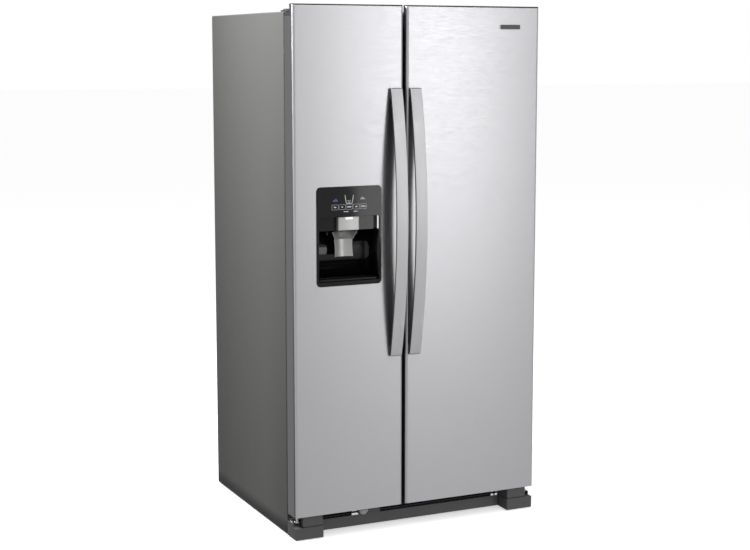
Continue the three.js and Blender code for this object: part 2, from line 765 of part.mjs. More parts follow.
function doorBin(opening, back, z) {
  const x = grow(dikeSpan(opening), -DIKE_BAND - 0.5);
  return tray(x, [DOOR_BACK + 0.5, back], z, 3);
}

// ---------- Dispenser ----------

// Chamber above the housing that the ice chute stands in. The foam and the inner panel are open there.
function chuteChamber(back) {
  return box(
    [DISPENSER_MID - CHAMBER_HALF, DISPENSER_MID + CHAMBER_HALF],
    [DOOR_FRONT, back],
    [HOUSING_Z[1] - 1, BULGE_Z[1] - WALL + GAP],
  );
}

function freezerDoorSkin() {
  const opening = box(grow(HOUSING_X, 0.5), [DOOR_FRONT - 1, DOOR_FRONT + 2], grow(HOUSING_Z, 0.5));
  return cut(doorSkin(FREEZER_DOOR_X), opening);
}

function housingPocket() {
  return box(grow(HOUSING_X, GAP), [DOOR_FRONT, HOUSING_BACK + GAP], grow(HOUSING_Z, GAP));
}

function freezerDoorFoam() {
  const bulge = box(
    grow(BULGE_X, -WALL),
    [SKIN_BACK - 10, BULGE_BACK - WALL],
    grow(BULGE_Z, -WALL),
  );
  return cut(join(doorFoam(FREEZER_DOOR_X), bulge), housingPocket(), chuteChamber(BULGE_BACK));
}

function freezerDoorLiner() {
  const bulge = box(BULGE_X, [SKIN_BACK + GAP, BULGE_BACK], BULGE_Z);
  const hollow = box(
    grow(BULGE_X, GAP - WALL),
    [SKIN_BACK - 1, BULGE_BACK - WALL + GAP],
    grow(BULGE_Z, GAP - WALL),
  );
  const mouth = box(
    grow(FLANGE_X, GAP),
    [BULGE_BACK - WALL - 1, BULGE_BACK + 1],
    [CHUTE_INLET_Z[0] - FLANGE_RIM - GAP, BULGE_Z[1] - WALL + GAP],
  );
  return cut(join(doorLiner(FREEZER_DOOR_X, FREEZER_X), bulge), hollow, housingPocket(), mouth);
}

function dispenserFascia() {
  const y = [DOOR_FRONT - 2, DOOR_FRONT - GAP];
  const plate = alongY(roundedRect(DISPENSER_X, DISPENSER_Z, 15), y);
  const opening = alongY(roundedRect(RECESS_X, [RECESS_FLOOR - 4, PANEL_BOTTOM], 9), grow(y, 1));
  return cut(plate, opening);
}

function dispenserHousing() {
  const front = DOOR_FRONT - 0.1;
  const body = box(HOUSING_X, [front, HOUSING_BACK], HOUSING_Z);
  const recess = alongZ(
    roundedRect(RECESS_X, [front - 40, DOOR_FRONT + RECESS_DEPTH], 22),
    [RECESS_FLOOR, RECESS_CEILING],
  );
  const band = box(RECESS_X, [front - 1, DOOR_FRONT + 22], [RECESS_CEILING - 1, PANEL_BOTTOM]);
  const passage = box(PASSAGE_X, PASSAGE_Y, [RECESS_CEILING - 1, HOUSING_Z[1] + 1]);
  const ears = [-56, 50].map((dx) => cut(
    box(
      [DISPENSER_MID + dx, DISPENSER_MID + dx + 6],
      [PADDLE_PIVOT[0] - 8, DOOR_FRONT + RECESS_DEPTH + 1],
      [PADDLE_PIVOT[1] - 8, RECESS_CEILING + 1],
    ),
    rod('x', PADDLE_PIVOT, [DISPENSER_MID + dx - 1, DISPENSER_MID + dx + 7], 3.5),
  ));
  return join(cut(body, recess, band, passage), ...ears);
}

// Duct that falls from the compartment side to the recess. Its flange fills the mouth in the inner panel.
function iceChute() {
  const wall = 2;
  const x = [DISPENSER_MID - CHUTE_HALF, DISPENSER_MID + CHUTE_HALF];
  const flange = [BULGE_BACK - WALL, BULGE_BACK - GAP];
  const duct = join(
    box(x, [CHUTE_FRONT, CHUTE_BACK], [RECESS_CEILING + 2, CHUTE_INLET_Z[1]]),
    box(x, [CHUTE_FRONT, BULGE_BACK - GAP], CHUTE_INLET_Z),
    box(FLANGE_X, flange, [CHUTE_INLET_Z[0] - FLANGE_RIM, CHUTE_INLET_Z[1] + FLANGE_RIM]),
  );
  const bore = join(
    box(grow(x, -wall), [CHUTE_FRONT + wall, CHUTE_BACK - wall], [RECESS_CEILING, CHUTE_INLET_Z[1] - wall]),
    box(grow(x, -wall), [CHUTE_FRONT + wall, BULGE_BACK + 1], grow(CHUTE_INLET_Z, -wall)),
  );
  return cut(duct, bore);
}

// Lever under the chute: a flared hood that turns on two stub pins, and a hollow-faced scoop below it.
function dispenserPaddle() {
  const hood = alongY(
    outline([[-34, -22], [34, -22], [46, 4], [-46, 4]]),
    [-26, 4],
  );
  const hoodBore = alongY(
    outline([[-31, -23], [31, -23], [43, 5], [-43, 5]]),
    [-23, 1],
  );
  const scoop = new THREE.Shape();
  scoop.absarc(0, -46, 50, 0.25 * Math.PI, 0.75 * Math.PI);
  scoop.absarc(0, -46, 47, 0.75 * Math.PI, 0.25 * Math.PI, true);
  const lean = new THREE.Matrix4().makeShear(0, 0, 0, 0, 0, 0.2);
  const blade = alongZ(scoop, [-80, -18]).applyMatrix4(lean);
  const pins = rod('x', [0, 0], [-52, 52], 3, 10);
  return join(cut(hood, hoodBore), blade, pins).translate(DISPENSER_MID, PADDLE_PIVOT[0], PADDLE_PIVOT[1]);
}

function dripTray() {
  const x = grow(RECESS_X, -2);
  const y = [DOOR_FRONT + 3, DOOR_FRONT + 50];
  const slots = [];
  for (let i = 0; i < 9; i += 1) {
    const left = x[0] + 14 + i * 22;
    slots.push(box([left, left + 6], grow(y, -8), [RECESS_FLOOR, RECESS_FLOOR + 8]));
  }
  return cut(box(x, y, [RECESS_FLOOR + GAP, RECESS_FLOOR + 6]), ...slots);
}

// Covered box at the top of the fridge door. Its open side faces the compartment and the lid hangs over it.
function dairyBox() {
  const x = grow(dikeSpan(FRIDGE_X), -DIKE_BAND - 0.5);
  const y = [DOOR_BACK + 0.5, DAIRY_BACK];
  const inner = box(grow(x, -3), [y[0] + 3, y[1] + 1], grow(DAIRY_Z, -3));
  return cut(box(x, y, DAIRY_Z), inner);
}

function dairyLid() {
  const x = grow(dikeSpan(FRIDGE_X), -DIKE_BAND - 1);
  const y = [DAIRY_BACK + 0.5, DAIRY_BACK + 3.5];
  const panel = box(x, y, [DAIRY_Z[0] + 4, DAIRY_Z[1] + 6]);
  const grip = box(grow(x, -110), [y[1] - 1, y[1] + 4], [DAIRY_Z[0] + 8, DAIRY_Z[0] + 13]);
  return join(panel, grip);
}

// ---------- Assembly ----------

function addCabinet() {
  add('cabinet_wrapper', cabinetWrapper(), 'cabinetPaint');
  add('cabinet_back', box(
    grow([-CABINET_SIDE, CABINET_SIDE], -SHEET - GAP),
    [BACK_PANEL, BACK_PANEL + SHEET],
    [MACHINE_TOP + 10, CABINET_TOP - SHEET - GAP],
  ), 'cabinetPaint');
  add('base_deck', baseDeck(), 'zinc');
  add('cabinet_foam', cabinetFoam(), 'foam');
  add('freezer_liner', freezerLiner(), 'white');
  add('fridge_liner', fridgeLiner(), 'white');
}

function addPair(name, leftPiece, colour) {
  add(`${name}_left`, leftPiece, colour);
  add(`${name}_right`, mirrored(leftPiece), colour);
}

function addHingesAndFeet() {
  addPair('top_hinge', topHinge(), 'zinc');
  addPair('top_hinge_cover', topHingeCover(), 'darkPlastic');
  addPair('bottom_hinge', bottomHinge(), 'zinc');
  addPair('foot_cover', footCover(), 'charcoal');
  addPair('levelling_leg', levellingLeg(), 'zinc');
  add('rear_roller_left', roller(-1), 'rubber');
  add('rear_roller_right', roller(1), 'rubber');
  add('base_grille', baseGrille(), 'charcoal');
  add('water_filter', waterFilter(), 'silver');
}

function addMachinery() {
  add('compressor', compressor(), 'compressor');
  add('condenser_coil', condenserCoil(), 'fin');
  add('condenser_fan', fanWheel(66, 22).translate(FAN_X, FAN_Y, FAN_Z), 'darkPlastic');
  add('machine_cover', machineCover(), 'board');
  add('evaporator_cover', evaporatorCover(), 'white');
  const evaporatorFan = fanWheel(56, 20).rotateZ(Math.PI / 2);
  add('evaporator_fan', evaporatorFan.translate(FREEZER_MID, 284, EVAPORATOR_FAN_Z), 'darkPlastic');
}

function addInterior() {
  const freezerDepth = [SHELF_FRONT, 246];
  const fridgeDepth = [SHELF_FRONT, 340];
  add('icemaker', iceMaker(), 'white');
  add('ice_bin', iceBin(), 'clear');
  add('ice_auger', iceAuger(), 'fin');
  add('freezer_shelf_lower', glassShelf(FREEZER_X, freezerDepth, FREEZER_SHELF_Z[0]), 'glass');
  add('freezer_shelf_upper', glassShelf(FREEZER_X, freezerDepth, FREEZER_SHELF_Z[1]), 'glass');
  add('freezer_basket', drawer(FREEZER_X, [DRAWER_FRONT, 118], LOW_DRAWER_Z), 'clear');
  add('fridge_shelf_lower', glassShelf(FRIDGE_X, fridgeDepth, FRIDGE_SHELF_Z[0]), 'glass');
  add('fridge_shelf_upper', glassShelf(FRIDGE_X, fridgeDepth, FRIDGE_SHELF_Z[1]), 'glass');
  add('crisper_shelf', glassShelf(FRIDGE_X, fridgeDepth, CRISPER_SHELF_Z), 'glass');
  add('crisper_lower', drawer(FRIDGE_X, [DRAWER_FRONT, 118], LOW_DRAWER_Z), 'clear');
  add('crisper_upper', drawer(FRIDGE_X, [DRAWER_FRONT, 325], UPPER_CRISPER_Z), 'clear');
}

function addFreezerDoor() {
  const x = FREEZER_DOOR_X;
  add('freezer_door_skin', freezerDoorSkin(), 'steel');
  add('freezer_door_foam', freezerDoorFoam(), 'foam');
  add('freezer_door_liner', freezerDoorLiner(), 'white');
  add('freezer_door_gasket', gasket(x, FREEZER_X, -1), 'gasket');
  add('freezer_door_cap_top', topCap(x, -1), 'darkPlastic');
  add('freezer_door_cap_bottom', bottomCap(x, -1), 'darkPlastic');
  add('freezer_handle', handle(-1), 'steel');
  add('dispenser_fascia', dispenserFascia(), 'glossBlack');
  add('dispenser_housing', dispenserHousing(), 'glossBlack');
  add('ice_chute', iceChute(), 'silver');
  add('dispenser_paddle', dispenserPaddle(), 'silver');
  add('drip_tray', dripTray(), 'darkPlastic');
  add('freezer_door_bin', doorBin(FREEZER_X, BIN_BACK, [600, 700]), 'clear');
}

function addFridgeDoor() {
  const x = FRIDGE_DOOR_X;
  add('fridge_door_skin', doorSkin(x), 'steel');
  add('fridge_door_foam', doorFoam(x), 'foam');
  add('fridge_door_liner', doorLiner(x, FRIDGE_X), 'white');
  add('fridge_door_gasket', gasket(x, FRIDGE_X, 1), 'gasket');
  add('fridge_door_cap_top', topCap(x, 1), 'darkPlastic');
  add('fridge_door_cap_bottom', bottomCap(x, 1), 'darkPlastic');
  add('fridge_handle', handle(1), 'steel');
  add('fridge_door_bin', doorBin(FRIDGE_X, BIN_BACK, [620, 740]), 'clear');
  add('dairy_box', dairyBox(), 'clear');
  add('dairy_lid', dairyLid(), 'clear');
}

addCabinet();
addHingesAndFeet();
addMachinery();
addInterior();
addFreezerDoor();
addFridgeDoor();

export default fridge;
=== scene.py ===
import math

import bmesh
import bpy
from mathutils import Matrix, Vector


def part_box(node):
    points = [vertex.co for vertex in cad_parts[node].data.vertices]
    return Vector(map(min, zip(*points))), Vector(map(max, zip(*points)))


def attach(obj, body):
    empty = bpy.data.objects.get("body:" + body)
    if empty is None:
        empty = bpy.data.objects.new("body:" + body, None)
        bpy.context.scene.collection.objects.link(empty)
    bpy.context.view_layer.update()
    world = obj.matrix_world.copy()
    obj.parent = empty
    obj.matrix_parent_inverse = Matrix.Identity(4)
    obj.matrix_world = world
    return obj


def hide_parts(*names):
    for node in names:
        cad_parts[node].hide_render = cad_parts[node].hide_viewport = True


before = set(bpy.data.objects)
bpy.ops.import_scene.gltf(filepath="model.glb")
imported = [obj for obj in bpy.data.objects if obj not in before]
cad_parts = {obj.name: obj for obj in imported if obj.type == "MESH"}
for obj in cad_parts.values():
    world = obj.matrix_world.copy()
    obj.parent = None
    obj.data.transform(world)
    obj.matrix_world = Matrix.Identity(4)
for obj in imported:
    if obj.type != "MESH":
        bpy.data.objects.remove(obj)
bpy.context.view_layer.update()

# Everything is worked out in millimetres of the row frame, and turned into metres when a mesh is made.
MM = 0.001


def span(node):
    """A CAD node's box as three (low, high) pairs, in millimetres."""
    low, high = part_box(node)
    return [(low[i] / MM, high[i] / MM) for i in range(3)]


def grow(pair, amount):
    return (pair[0] - amount, pair[1] + amount)


def middle(pair):
    return (pair[0] + pair[1]) / 2


# ---------------------------------------------------------------- Outlines


def rect(a, b):
    return [(a[0], b[0]), (a[1], b[0]), (a[1], b[1]), (a[0], b[1])]


def arc(centre, radius, start, end, steps):
    """Points on a circle from one angle to another, in degrees."""
    points = []
    for i in range(steps + 1):
        angle = math.radians(start + (end - start) * i / steps)
        points.append((centre[0] + radius * math.cos(angle), centre[1] + radius * math.sin(angle)))
    return points


def rounded(a, b, radius, steps=6):
    """A rectangle with round corners."""
    corners = [(a[1], b[0], -90), (a[1], b[1], 0), (a[0], b[1], 90), (a[0], b[0], 180)]
    points = []
    for x, y, start in corners:
        centre = (
            x - radius if x == a[1] else x + radius,
            y - radius if y == b[1] else y + radius,
        )
        points += arc(centre, radius, start, start + 90, steps)
    return points


def put(axis, a, b, level):
    """A point of an outline drawn across one axis."""
    return {"x": (level, a, b), "y": (a, level, b), "z": (a, b, level)}[axis]


def bent(points, radius, steps=6):
    """A path with its corners rounded off."""
    path = [Vector(points[0])]
    for before, corner, after in zip(points, points[1:], points[2:]):
        before, corner, after = Vector(before), Vector(corner), Vector(after)
        start = corner + (before - corner).normalized() * radius
        end = corner + (after - corner).normalized() * radius
        for i in range(steps + 1):
            t = i / steps
            path.append(start * (1 - t) ** 2 + corner * 2 * t * (1 - t) + end * t ** 2)
    path.append(Vector(points[-1]))
    return path


# ---------------------------------------------------------------- Meshes


class Shape:
    """Faces gathered into one mesh, in millimetres of the row frame."""

    def __init__(self):
        self.mesh = bmesh.new()

    def skin(self, rings, caps=True, closed=True, around=False):
        """Quads between rings that have the same count of points."""
        loops = [[self.mesh.verts.new(p) for p in ring] for ring in rings]
        if around:
            loops.append(loops[0])
        count = len(loops[0])
        for low, high in zip(loops, loops[1:]):
            for i in range(count if closed else count - 1):
                j = (i + 1) % count
                self.mesh.faces.new((low[i], low[j], high[j], high[i]))
        if caps and not around:
            self.mesh.faces.new(list(reversed(loops[0])))
            self.mesh.faces.new(loops[-1])
        return self

    def prism(self, outline, axis, pair):
        return self.skin([[put(axis, a, b, level) for a, b in outline] for level in pair])

    def box(self, x, y, z):
        return self.prism(rect(x, y), "z", z)

    def plate(self, outer, inner, axis, pair):
        """A flat ring between two outlines that have the same count of points."""
        low, high = pair
        rings = [(outer, low), (outer, high), (inner, high), (inner, low)]
        return self.skin(
            [[put(axis, a, b, level) for a, b in outline] for outline, level in rings],
            around=True,
        )

    def tube(self, path, radius, sides=12):
        points = [Vector(p) for p in path]
        rings, normal = [], None
        for i, point in enumerate(points):
            along = (points[min(i + 1, len(points) - 1)] - points[max(i - 1, 0)]).normalized()
            normal = along.orthogonal() if normal is None else normal - along * normal.dot(along)
            normal.normalize()
            across = along.cross(normal)
            rings.append([
                point + (normal * math.cos(a) + across * math.sin(a)) * radius
                for a in (2 * math.pi * k / sides for k in range(sides))
            ])
        return self.skin(rings)

    def lathe(self, profile, axis, centre, steps=32):
        """Turned body from (radius, level) points, closed by a flat face at both ends."""
        rings = []
        for radius, level in profile:
            circle = arc(centre, radius, 0, 360 - 360 / steps, steps - 1)
            rings.append([put(axis, a, b, level) for a, b in circle])
        return self.skin(rings)

    def rod(self, axis, centre, pair, radius, chamfer=0.6, steps=24):
        low, high = pair
        profile = [
            (radius - chamfer, low), (radius, low + chamfer),
            (radius, high - chamfer), (radius - chamfer, high),
        ]
        return self.lathe(profile, axis, centre, steps)

    def basin(self, x, y, z, wall, radius, draft):
        """Open-topped container with round corners and walls that lean by draft."""
        def loop(inset, level, corner):
            return [(a, b, level) for a, b in rounded(grow(x, -inset), grow(y, -inset), corner)]
        rings = [
            loop(draft + 2, z[0], radius - 1.5),
            loop(draft, z[0] + 2, radius),
            loop(0, z[1] - 3, radius),
            loop(0, z[1] - 2, radius),
            loop(0, z[1], radius),
            loop(wall, z[1], max(radius - wall, 1)),
            loop(wall + draft, z[0] + wall + 3, max(radius - wall, 1)),
            loop(wall + draft + 3, z[0] + wall, max(radius - wall - 2, 0.8)),
        ]
        return self.skin(rings)

    def place(self, name, body, slot, bevel=0.0, segments=3, stands_for=(), finish=None, sharp=40):
        """Makes the object, gives it its finish and has it ride on a body."""
        bmesh.ops.recalc_face_normals(self.mesh, faces=self.mesh.faces)
        return make_object(self.mesh, name, body, slot, bevel, segments, stands_for, finish, sharp)


def make_object(mesh, name, body, slot, bevel=0.0, segments=3, stands_for=(), finish=None, sharp=40):
    bmesh.ops.scale(mesh, vec=(MM, MM, MM), verts=mesh.verts)
    data = bpy.data.meshes.new(name)
    mesh.to_mesh(data)
    mesh.free()
    data.shade_smooth()
    piece = bpy.data.objects.new(name, data)
    bpy.context.scene.collection.objects.link(piece)
    data.materials.append(FINISHES[finish or slot])
    if bevel:
        add_bevel(piece, bevel, segments)
    else:
        data.set_sharp_from_angle(angle=math.radians(sharp))
    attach(piece, body)
    if stands_for:
        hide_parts(*stands_for)
    return piece


def add_bevel(piece, width, segments=3):
    bevel = piece.modifiers.new("Bevel", "BEVEL")
    bevel.width = width * MM
    bevel.segments = segments
    bevel.limit_method = "ANGLE"
    bevel.angle_limit = math.radians(38)
    bevel.harden_normals = True


def add_solidify(piece, thickness, outwards=False):
    solid = piece.modifiers.new("Sheet", "SOLIDIFY")
    solid.thickness = thickness * MM
    solid.offset = 1 if outwards else -1


# ---------------------------------------------------------------- Finishes


def srgb(*levels):
    """0 to 255 display levels as linear colour. One level is a grey."""
    if len(levels) == 1:
        levels = levels * 3
    linear = []
    for level in levels:
        c = level / 255
        linear.append(c / 12.92 if c <= 0.04045 else ((c + 0.055) / 1.055) ** 2.4)
    return (*linear, 1.0)


def shade(colour, factor):
    return (*[min(1.0, c * factor) for c in colour[:3]], 1.0)


class Finish:
    """A procedural material on a Principled surface, in object coordinates."""

    def __init__(self, name, roughness, metallic=0.0, **constants):
        self.material = bpy.data.materials.new(name)
        self.material.use_nodes = True
        self.nodes = self.material.node_tree.nodes
        self.links = self.material.node_tree.links
        self.surface = self.nodes["Principled BSDF"]
        self.surface.inputs["Roughness"].default_value = roughness
        self.surface.inputs["Metallic"].default_value = metallic
        for socket, value in constants.items():
            self.surface.inputs[socket].default_value = value
        self.coordinates = self.nodes.new("ShaderNodeTexCoord")
        self.bump = None
        FINISHES[name] = self.material

    def noise(self, scale, stretch=(1, 1, 1), detail=4.0, rough=0.5):
        mapping = self.nodes.new("ShaderNodeMapping")
        mapping.inputs["Scale"].default_value = stretch
        self.links.new(self.coordinates.outputs["Object"], mapping.inputs["Vector"])
        noise = self.nodes.new("ShaderNodeTexNoise")
        noise.inputs["Scale"].default_value = scale
        noise.inputs["Detail"].default_value = detail
        noise.inputs["Roughness"].default_value = rough
        self.links.new(mapping.outputs["Vector"], noise.inputs["Vector"])
        return noise.outputs["Fac"]

    def ranged(self, value, low, high, start=0.3, end=0.7):
        """Maps a noise's middle stretch onto a range."""
        node = self.nodes.new("ShaderNodeMapRange")
        for socket, number in zip(("From Min", "From Max", "To Min", "To Max"), (start, end, low, high)):
            node.inputs[socket].default_value = number
        self.links.new(value, node.inputs["Value"])
        return node.outputs["Result"]

    def mix(self, factor, first, second):
        node = self.nodes.new("ShaderNodeMix")
        node.data_type = "RGBA"
        self.links.new(factor, node.inputs["Factor"])
        for socket, colour in ((6, first), (7, second)):
            if isinstance(colour, tuple):
                node.inputs[socket].default_value = colour
            else:
                self.links.new(colour, node.inputs[socket])
        return node.outputs[2]

    def colour(self, value):
        self.links.new(value, self.surface.inputs["Base Color"])
        return self

    def rough(self, value):
        self.links.new(value, self.surface.inputs["Roughness"])
        return self

    def relief(self, height, distance, strength=1.0):
        """Adds a bump, in millimetres of height, on top of any before it."""
        node = self.nodes.new("ShaderNodeBump")
        node.inputs["Strength"].default_value = strength
        node.inputs["Distance"].default_value = distance * MM
        self.links.new(height, node.inputs["Height"])
        if self.bump:
            self.links.new(self.bump.outputs["Normal"], node.inputs["Normal"])
        self.links.new(node.outputs["Normal"], self.surface.inputs["Normal"])
        self.bump = node
        return self


FINISHES = {}


def moulded(name, colour, roughness, grain=0.06, grain_scale=1100, vary=0.07, **constants):
    """Moulded plastic: faint cloudy colour, rubbed patches and a fine texture."""
    finish = Finish(name, roughness, **constants)
    cloud = finish.noise(9, detail=5)
    speck = finish.noise(grain_scale, detail=2)
    base = finish.mix(finish.ranged(cloud, 0, 1), shade(colour, 1 - vary), shade(colour, 1 + vary))
    finish.colour(finish.mix(finish.ranged(speck, 0, 0.35), base, shade(colour, 0.8)))
    finish.rough(finish.ranged(finish.noise(22, detail=6), roughness * 0.85, roughness * 1.2))
    finish.relief(speck, grain)
    return finish


def brushed(name, colour, roughness, stretch, vary=0.05, turn=0.25, metallic=1.0, **constants):
    """Brushed metal: long fine streaks along the axis that stretch leaves short."""
    finish = Finish(name, roughness, metallic=metallic, **constants)
    finish.surface.inputs["Anisotropic"].default_value = 0.7
    finish.surface.inputs["Anisotropic Rotation"].default_value = turn
    tangent = finish.nodes.new("ShaderNodeTangent")
    tangent.direction_type = "RADIAL"
    tangent.axis = "Z"
    finish.links.new(tangent.outputs["Tangent"], finish.surface.inputs["Tangent"])
    fine = finish.noise(1.0, tuple(s * 2200 if s > 0.5 else 70 for s in stretch), detail=3)
    broad = finish.noise(1.0, tuple(s * 700 if s > 0.5 else 34 for s in stretch), detail=4)
    cloud = finish.noise(5, detail=5)
    streaks = finish.mix(finish.ranged(fine, 0, 1), shade(colour, 1 - vary), shade(colour, 1 + vary))
    dull = finish.mix(finish.ranged(broad, 0, 0.5), streaks, shade(colour, 1 - 1.2 * vary))
    finish.colour(finish.mix(finish.ranged(cloud, 0, 0.3), dull, shade(colour, 1 + vary)))
    finish.rough(finish.ranged(broad, roughness - 0.03, roughness + 0.05))
    finish.relief(fine, 0.012)
    return finish


def painted(name, colour, roughness, peel=0.05, **constants):
    """Enamel on sheet steel: slight orange peel and a little dust in the colour."""
    finish = Finish(name, roughness, **constants)
    cloud = finish.noise(4, detail=6)
    fine = finish.noise(700, detail=3)
    base = finish.mix(finish.ranged(cloud, 0, 1), shade(colour, 0.985), shade(colour, 1.015))
    finish.colour(finish.mix(finish.ranged(fine, 0, 0.25), base, shade(colour, 0.86)))
    finish.rough(finish.ranged(finish.noise(14, detail=6), roughness - 0.01, roughness + 0.02))
    finish.relief(finish.noise(260, detail=2), peel)
    return finish


def clear(name, colour, alpha, roughness):
    """Clear plastic or glass, with faint marks from handling."""
    finish = Finish(name, roughness, IOR=1.5, Alpha=alpha)
    cloud = finish.noise(12, detail=5)
    finish.colour(finish.mix(finish.ranged(cloud, 0, 1), shade(colour, 0.94), colour))
    finish.rough(finish.ranged(finish.noise(35, detail=6), roughness, roughness + 0.08))
    finish.relief(finish.noise(60, detail=2), 0.03)
    return finish


def metal(name, colour, roughness, spots=60, **constants):
    """Zinc plate or bare metal: crystalline patches and fine scratches."""
    finish = Finish(name, roughness, metallic=1.0, **constants)
    patch = finish.noise(spots, detail=6, rough=0.6)
    scratch = finish.noise(400, (0.1, 1, 1), detail=3)
    finish.colour(finish.mix(finish.ranged(patch, 0, 1), shade(colour, 0.85), shade(colour, 1.1)))
    finish.rough(finish.ranged(scratch, roughness - 0.06, roughness + 0.1))
    finish.relief(patch, 0.03)
    return finish


def make_finishes():
    brushed("door_steel", srgb(196, 196, 199), 0.34, (0, 1, 1), vary=0.035)
    brushed("handle_steel", srgb(214, 214, 216), 0.42, (1, 1, 0), vary=0.03, turn=0.0, metallic=0.55)
    painted("cabinet_paint", srgb(84, 84, 83), 0.5)
    metal("zinc_steel", srgb(186, 188, 190), 0.34)
    metal("bare_aluminium", srgb(190, 192, 194), 0.38, 90)
    metal("chrome_pin", srgb(225, 226, 228), 0.14, 30)
    moulded("insulation_foam", srgb(226, 212, 160), 0.9, grain=0.5, grain_scale=350, vary=0.12)
    moulded("white_plastic", srgb(232, 234, 234), 0.36, grain=0.02, vary=0.02)
    moulded("dark_plastic", srgb(40, 41, 42), 0.46)
    moulded("charcoal_plastic", srgb(84, 84, 84), 0.5, grain=0.05, vary=0.06)
    moulded("handle_side", srgb(60, 61, 62), 0.38, grain=0.02)
    moulded("roller_nylon", srgb(34, 34, 34), 0.55)
    moulded("filter_grey", srgb(176, 178, 179), 0.35, grain=0.02)
    moulded("compressor_black", srgb(26, 26, 27), 0.38, grain=0.15, grain_scale=300)
    moulded("cover_board", srgb(118, 98, 74), 0.85, grain=0.25, grain_scale=500, vary=0.16)
    moulded("gasket_grey", srgb(70, 71, 73), 0.62, grain=0.04)
    moulded("gloss_black", srgb(16, 16, 17), 0.06, grain=0.0003, grain_scale=300, vary=0.1,
            **{"Specular IOR Level": 0.36})
    moulded("recess_black", srgb(18, 18, 19), 0.12, grain=0.002, vary=0.1, **{"Specular IOR Level": 0.4})
    moulded("silver_plastic", srgb(196, 196, 193), 0.34, grain=0.001, vary=0.01, Metallic=0.6)
    moulded("icon_white", srgb(214, 216, 220), 0.4, grain=0.01)
    moulded("icon_blue", srgb(96, 112, 186), 0.4, grain=0.01)
    # Glowing white plastic. On the fridge's and freezer's lamps it is the lit lens. On the dispenser's lens
    # and side strip the glow is a painted highlight, and painted light where they stand in shade.
    moulded("lamp_glow_and_painted_highlight_white", srgb(246, 247, 248), 0.25, grain=0.01, vary=0.01,
            **{"Emission Color": (1.0, 1.0, 1.0, 1.0), "Emission Strength": 0.6})
    clear("clear_plastic", srgb(222, 230, 234), 0.36, 0.09)
    clear("shelf_glass", srgb(196, 220, 214), 0.34, 0.04)


# ---------------------------------------------------------------- Studio


def look_along(yaw, pitch):
    """A direction from its turn to the right of +Y and its drop below the horizon, in degrees."""
    yaw, pitch = math.radians(yaw), math.radians(pitch)
    return Vector((math.sin(yaw) * math.cos(pitch), math.cos(yaw) * math.cos(pitch), -math.sin(pitch)))


# The camera stands in front and to the left. Its turn and drop are in degrees, its place in metres.
CAMERA_PLACE = (-2.2807, -4.8671, 1.6134)
CAMERA_YAW, CAMERA_PITCH = 25.13, 7.54
CAMERA_LENS, CAMERA_SHIFT = 72.74, -0.03


def make_camera():
    data = bpy.data.cameras.new("camera")
    data.sensor_width = 36.0
    data.lens = CAMERA_LENS
    data.shift_y = CAMERA_SHIFT
    data.clip_end = 200.0
    camera = bpy.data.objects.new("camera", data)
    camera.location = CAMERA_PLACE
    camera.rotation_mode = "QUATERNION"
    camera.rotation_quaternion = look_along(CAMERA_YAW, CAMERA_PITCH).to_track_quat("-Z", "Y")
    bpy.context.scene.collection.objects.link(camera)
    bpy.context.scene.camera = camera


def area_light(name, place, target, size, power):
    data = bpy.data.lights.new(name, "AREA")
    data.shape = "RECTANGLE"
    data.size, data.size_y = size
    data.energy = power
    light = bpy.data.objects.new(name, data)
    light.location = place
    direction = Vector(target) - Vector(place)
    light.rotation_mode = "QUATERNION"
    light.rotation_quaternion = direction.to_track_quat("-Z", "Y")
    light.visible_camera = False
    bpy.context.scene.collection.objects.link(light)


# The surroundings' brightness from straight down (0) through the horizon (0.5) to straight up (1).
SKY_STOPS = [(0.0, 0.2), (0.34, 0.62), (0.42, 0.62), (0.53, 0.62), (0.7, 0.59), (1.0, 0.57)]
DARK_SIDE_STRENGTH = 0.05


def make_world():
    """White to the eye. The object sees it bright above the horizon, and dark behind and to the left."""
    world = bpy.data.worlds.new("studio")
    world.use_nodes = True
    nodes, links = world.node_tree.nodes, world.node_tree.links
    output = nodes["World Output"]
    seen = nodes["Background"]
    seen.inputs["Color"].default_value = (1, 1, 1, 1)
    coordinates = nodes.new("ShaderNodeTexCoord")
    split = nodes.new("ShaderNodeSeparateXYZ")
    ramp = nodes.new("ShaderNodeValToRGB")
    for i, (position, level) in enumerate(SKY_STOPS):
        stop = ramp.color_ramp.elements[i] if i < 2 else ramp.color_ramp.elements.new(position)
        stop.position = position
        stop.color = (level, level, level, 1)
    height = nodes.new("ShaderNodeMapRange")
    height.inputs["From Min"].default_value = -1.0
    leftward = nodes.new("ShaderNodeMapRange")
    for socket, number in (("From Min", 0.1), ("From Max", -0.6)):
        leftward.inputs[socket].default_value = number
    backward = nodes.new("ShaderNodeMapRange")
    for socket, number in (("From Min", -0.3), ("From Max", 0.1)):
        backward.inputs[socket].default_value = number
    dark_side = nodes.new("ShaderNodeMath")
    dark_side.operation = "MULTIPLY"
    strength = nodes.new("ShaderNodeMapRange")
    for socket, number in (("To Min", 1.0), ("To Max", DARK_SIDE_STRENGTH)):
        strength.inputs[socket].default_value = number
    lit = nodes.new("ShaderNodeBackground")
    path = nodes.new("ShaderNodeLightPath")
    mix = nodes.new("ShaderNodeMixShader")
    links.new(coordinates.outputs["Generated"], split.inputs["Vector"])
    links.new(split.outputs["Z"], height.inputs["Value"])
    links.new(height.outputs["Result"], ramp.inputs["Fac"])
    links.new(split.outputs["X"], leftward.inputs["Value"])
    links.new(split.outputs["Y"], backward.inputs["Value"])
    links.new(leftward.outputs["Result"], dark_side.inputs[0])
    links.new(backward.outputs["Result"], dark_side.inputs[1])
    links.new(dark_side.outputs["Value"], strength.inputs["Value"])
    links.new(strength.outputs["Result"], lit.inputs["Strength"])
    links.new(ramp.outputs["Color"], lit.inputs["Color"])
    links.new(path.outputs["Is Camera Ray"], mix.inputs["Fac"])
    links.new(lit.outputs["Background"], mix.inputs[1])
    links.new(seen.outputs["Background"], mix.inputs[2])
    links.new(mix.outputs["Shader"], output.inputs["Surface"])
    bpy.context.scene.world = world


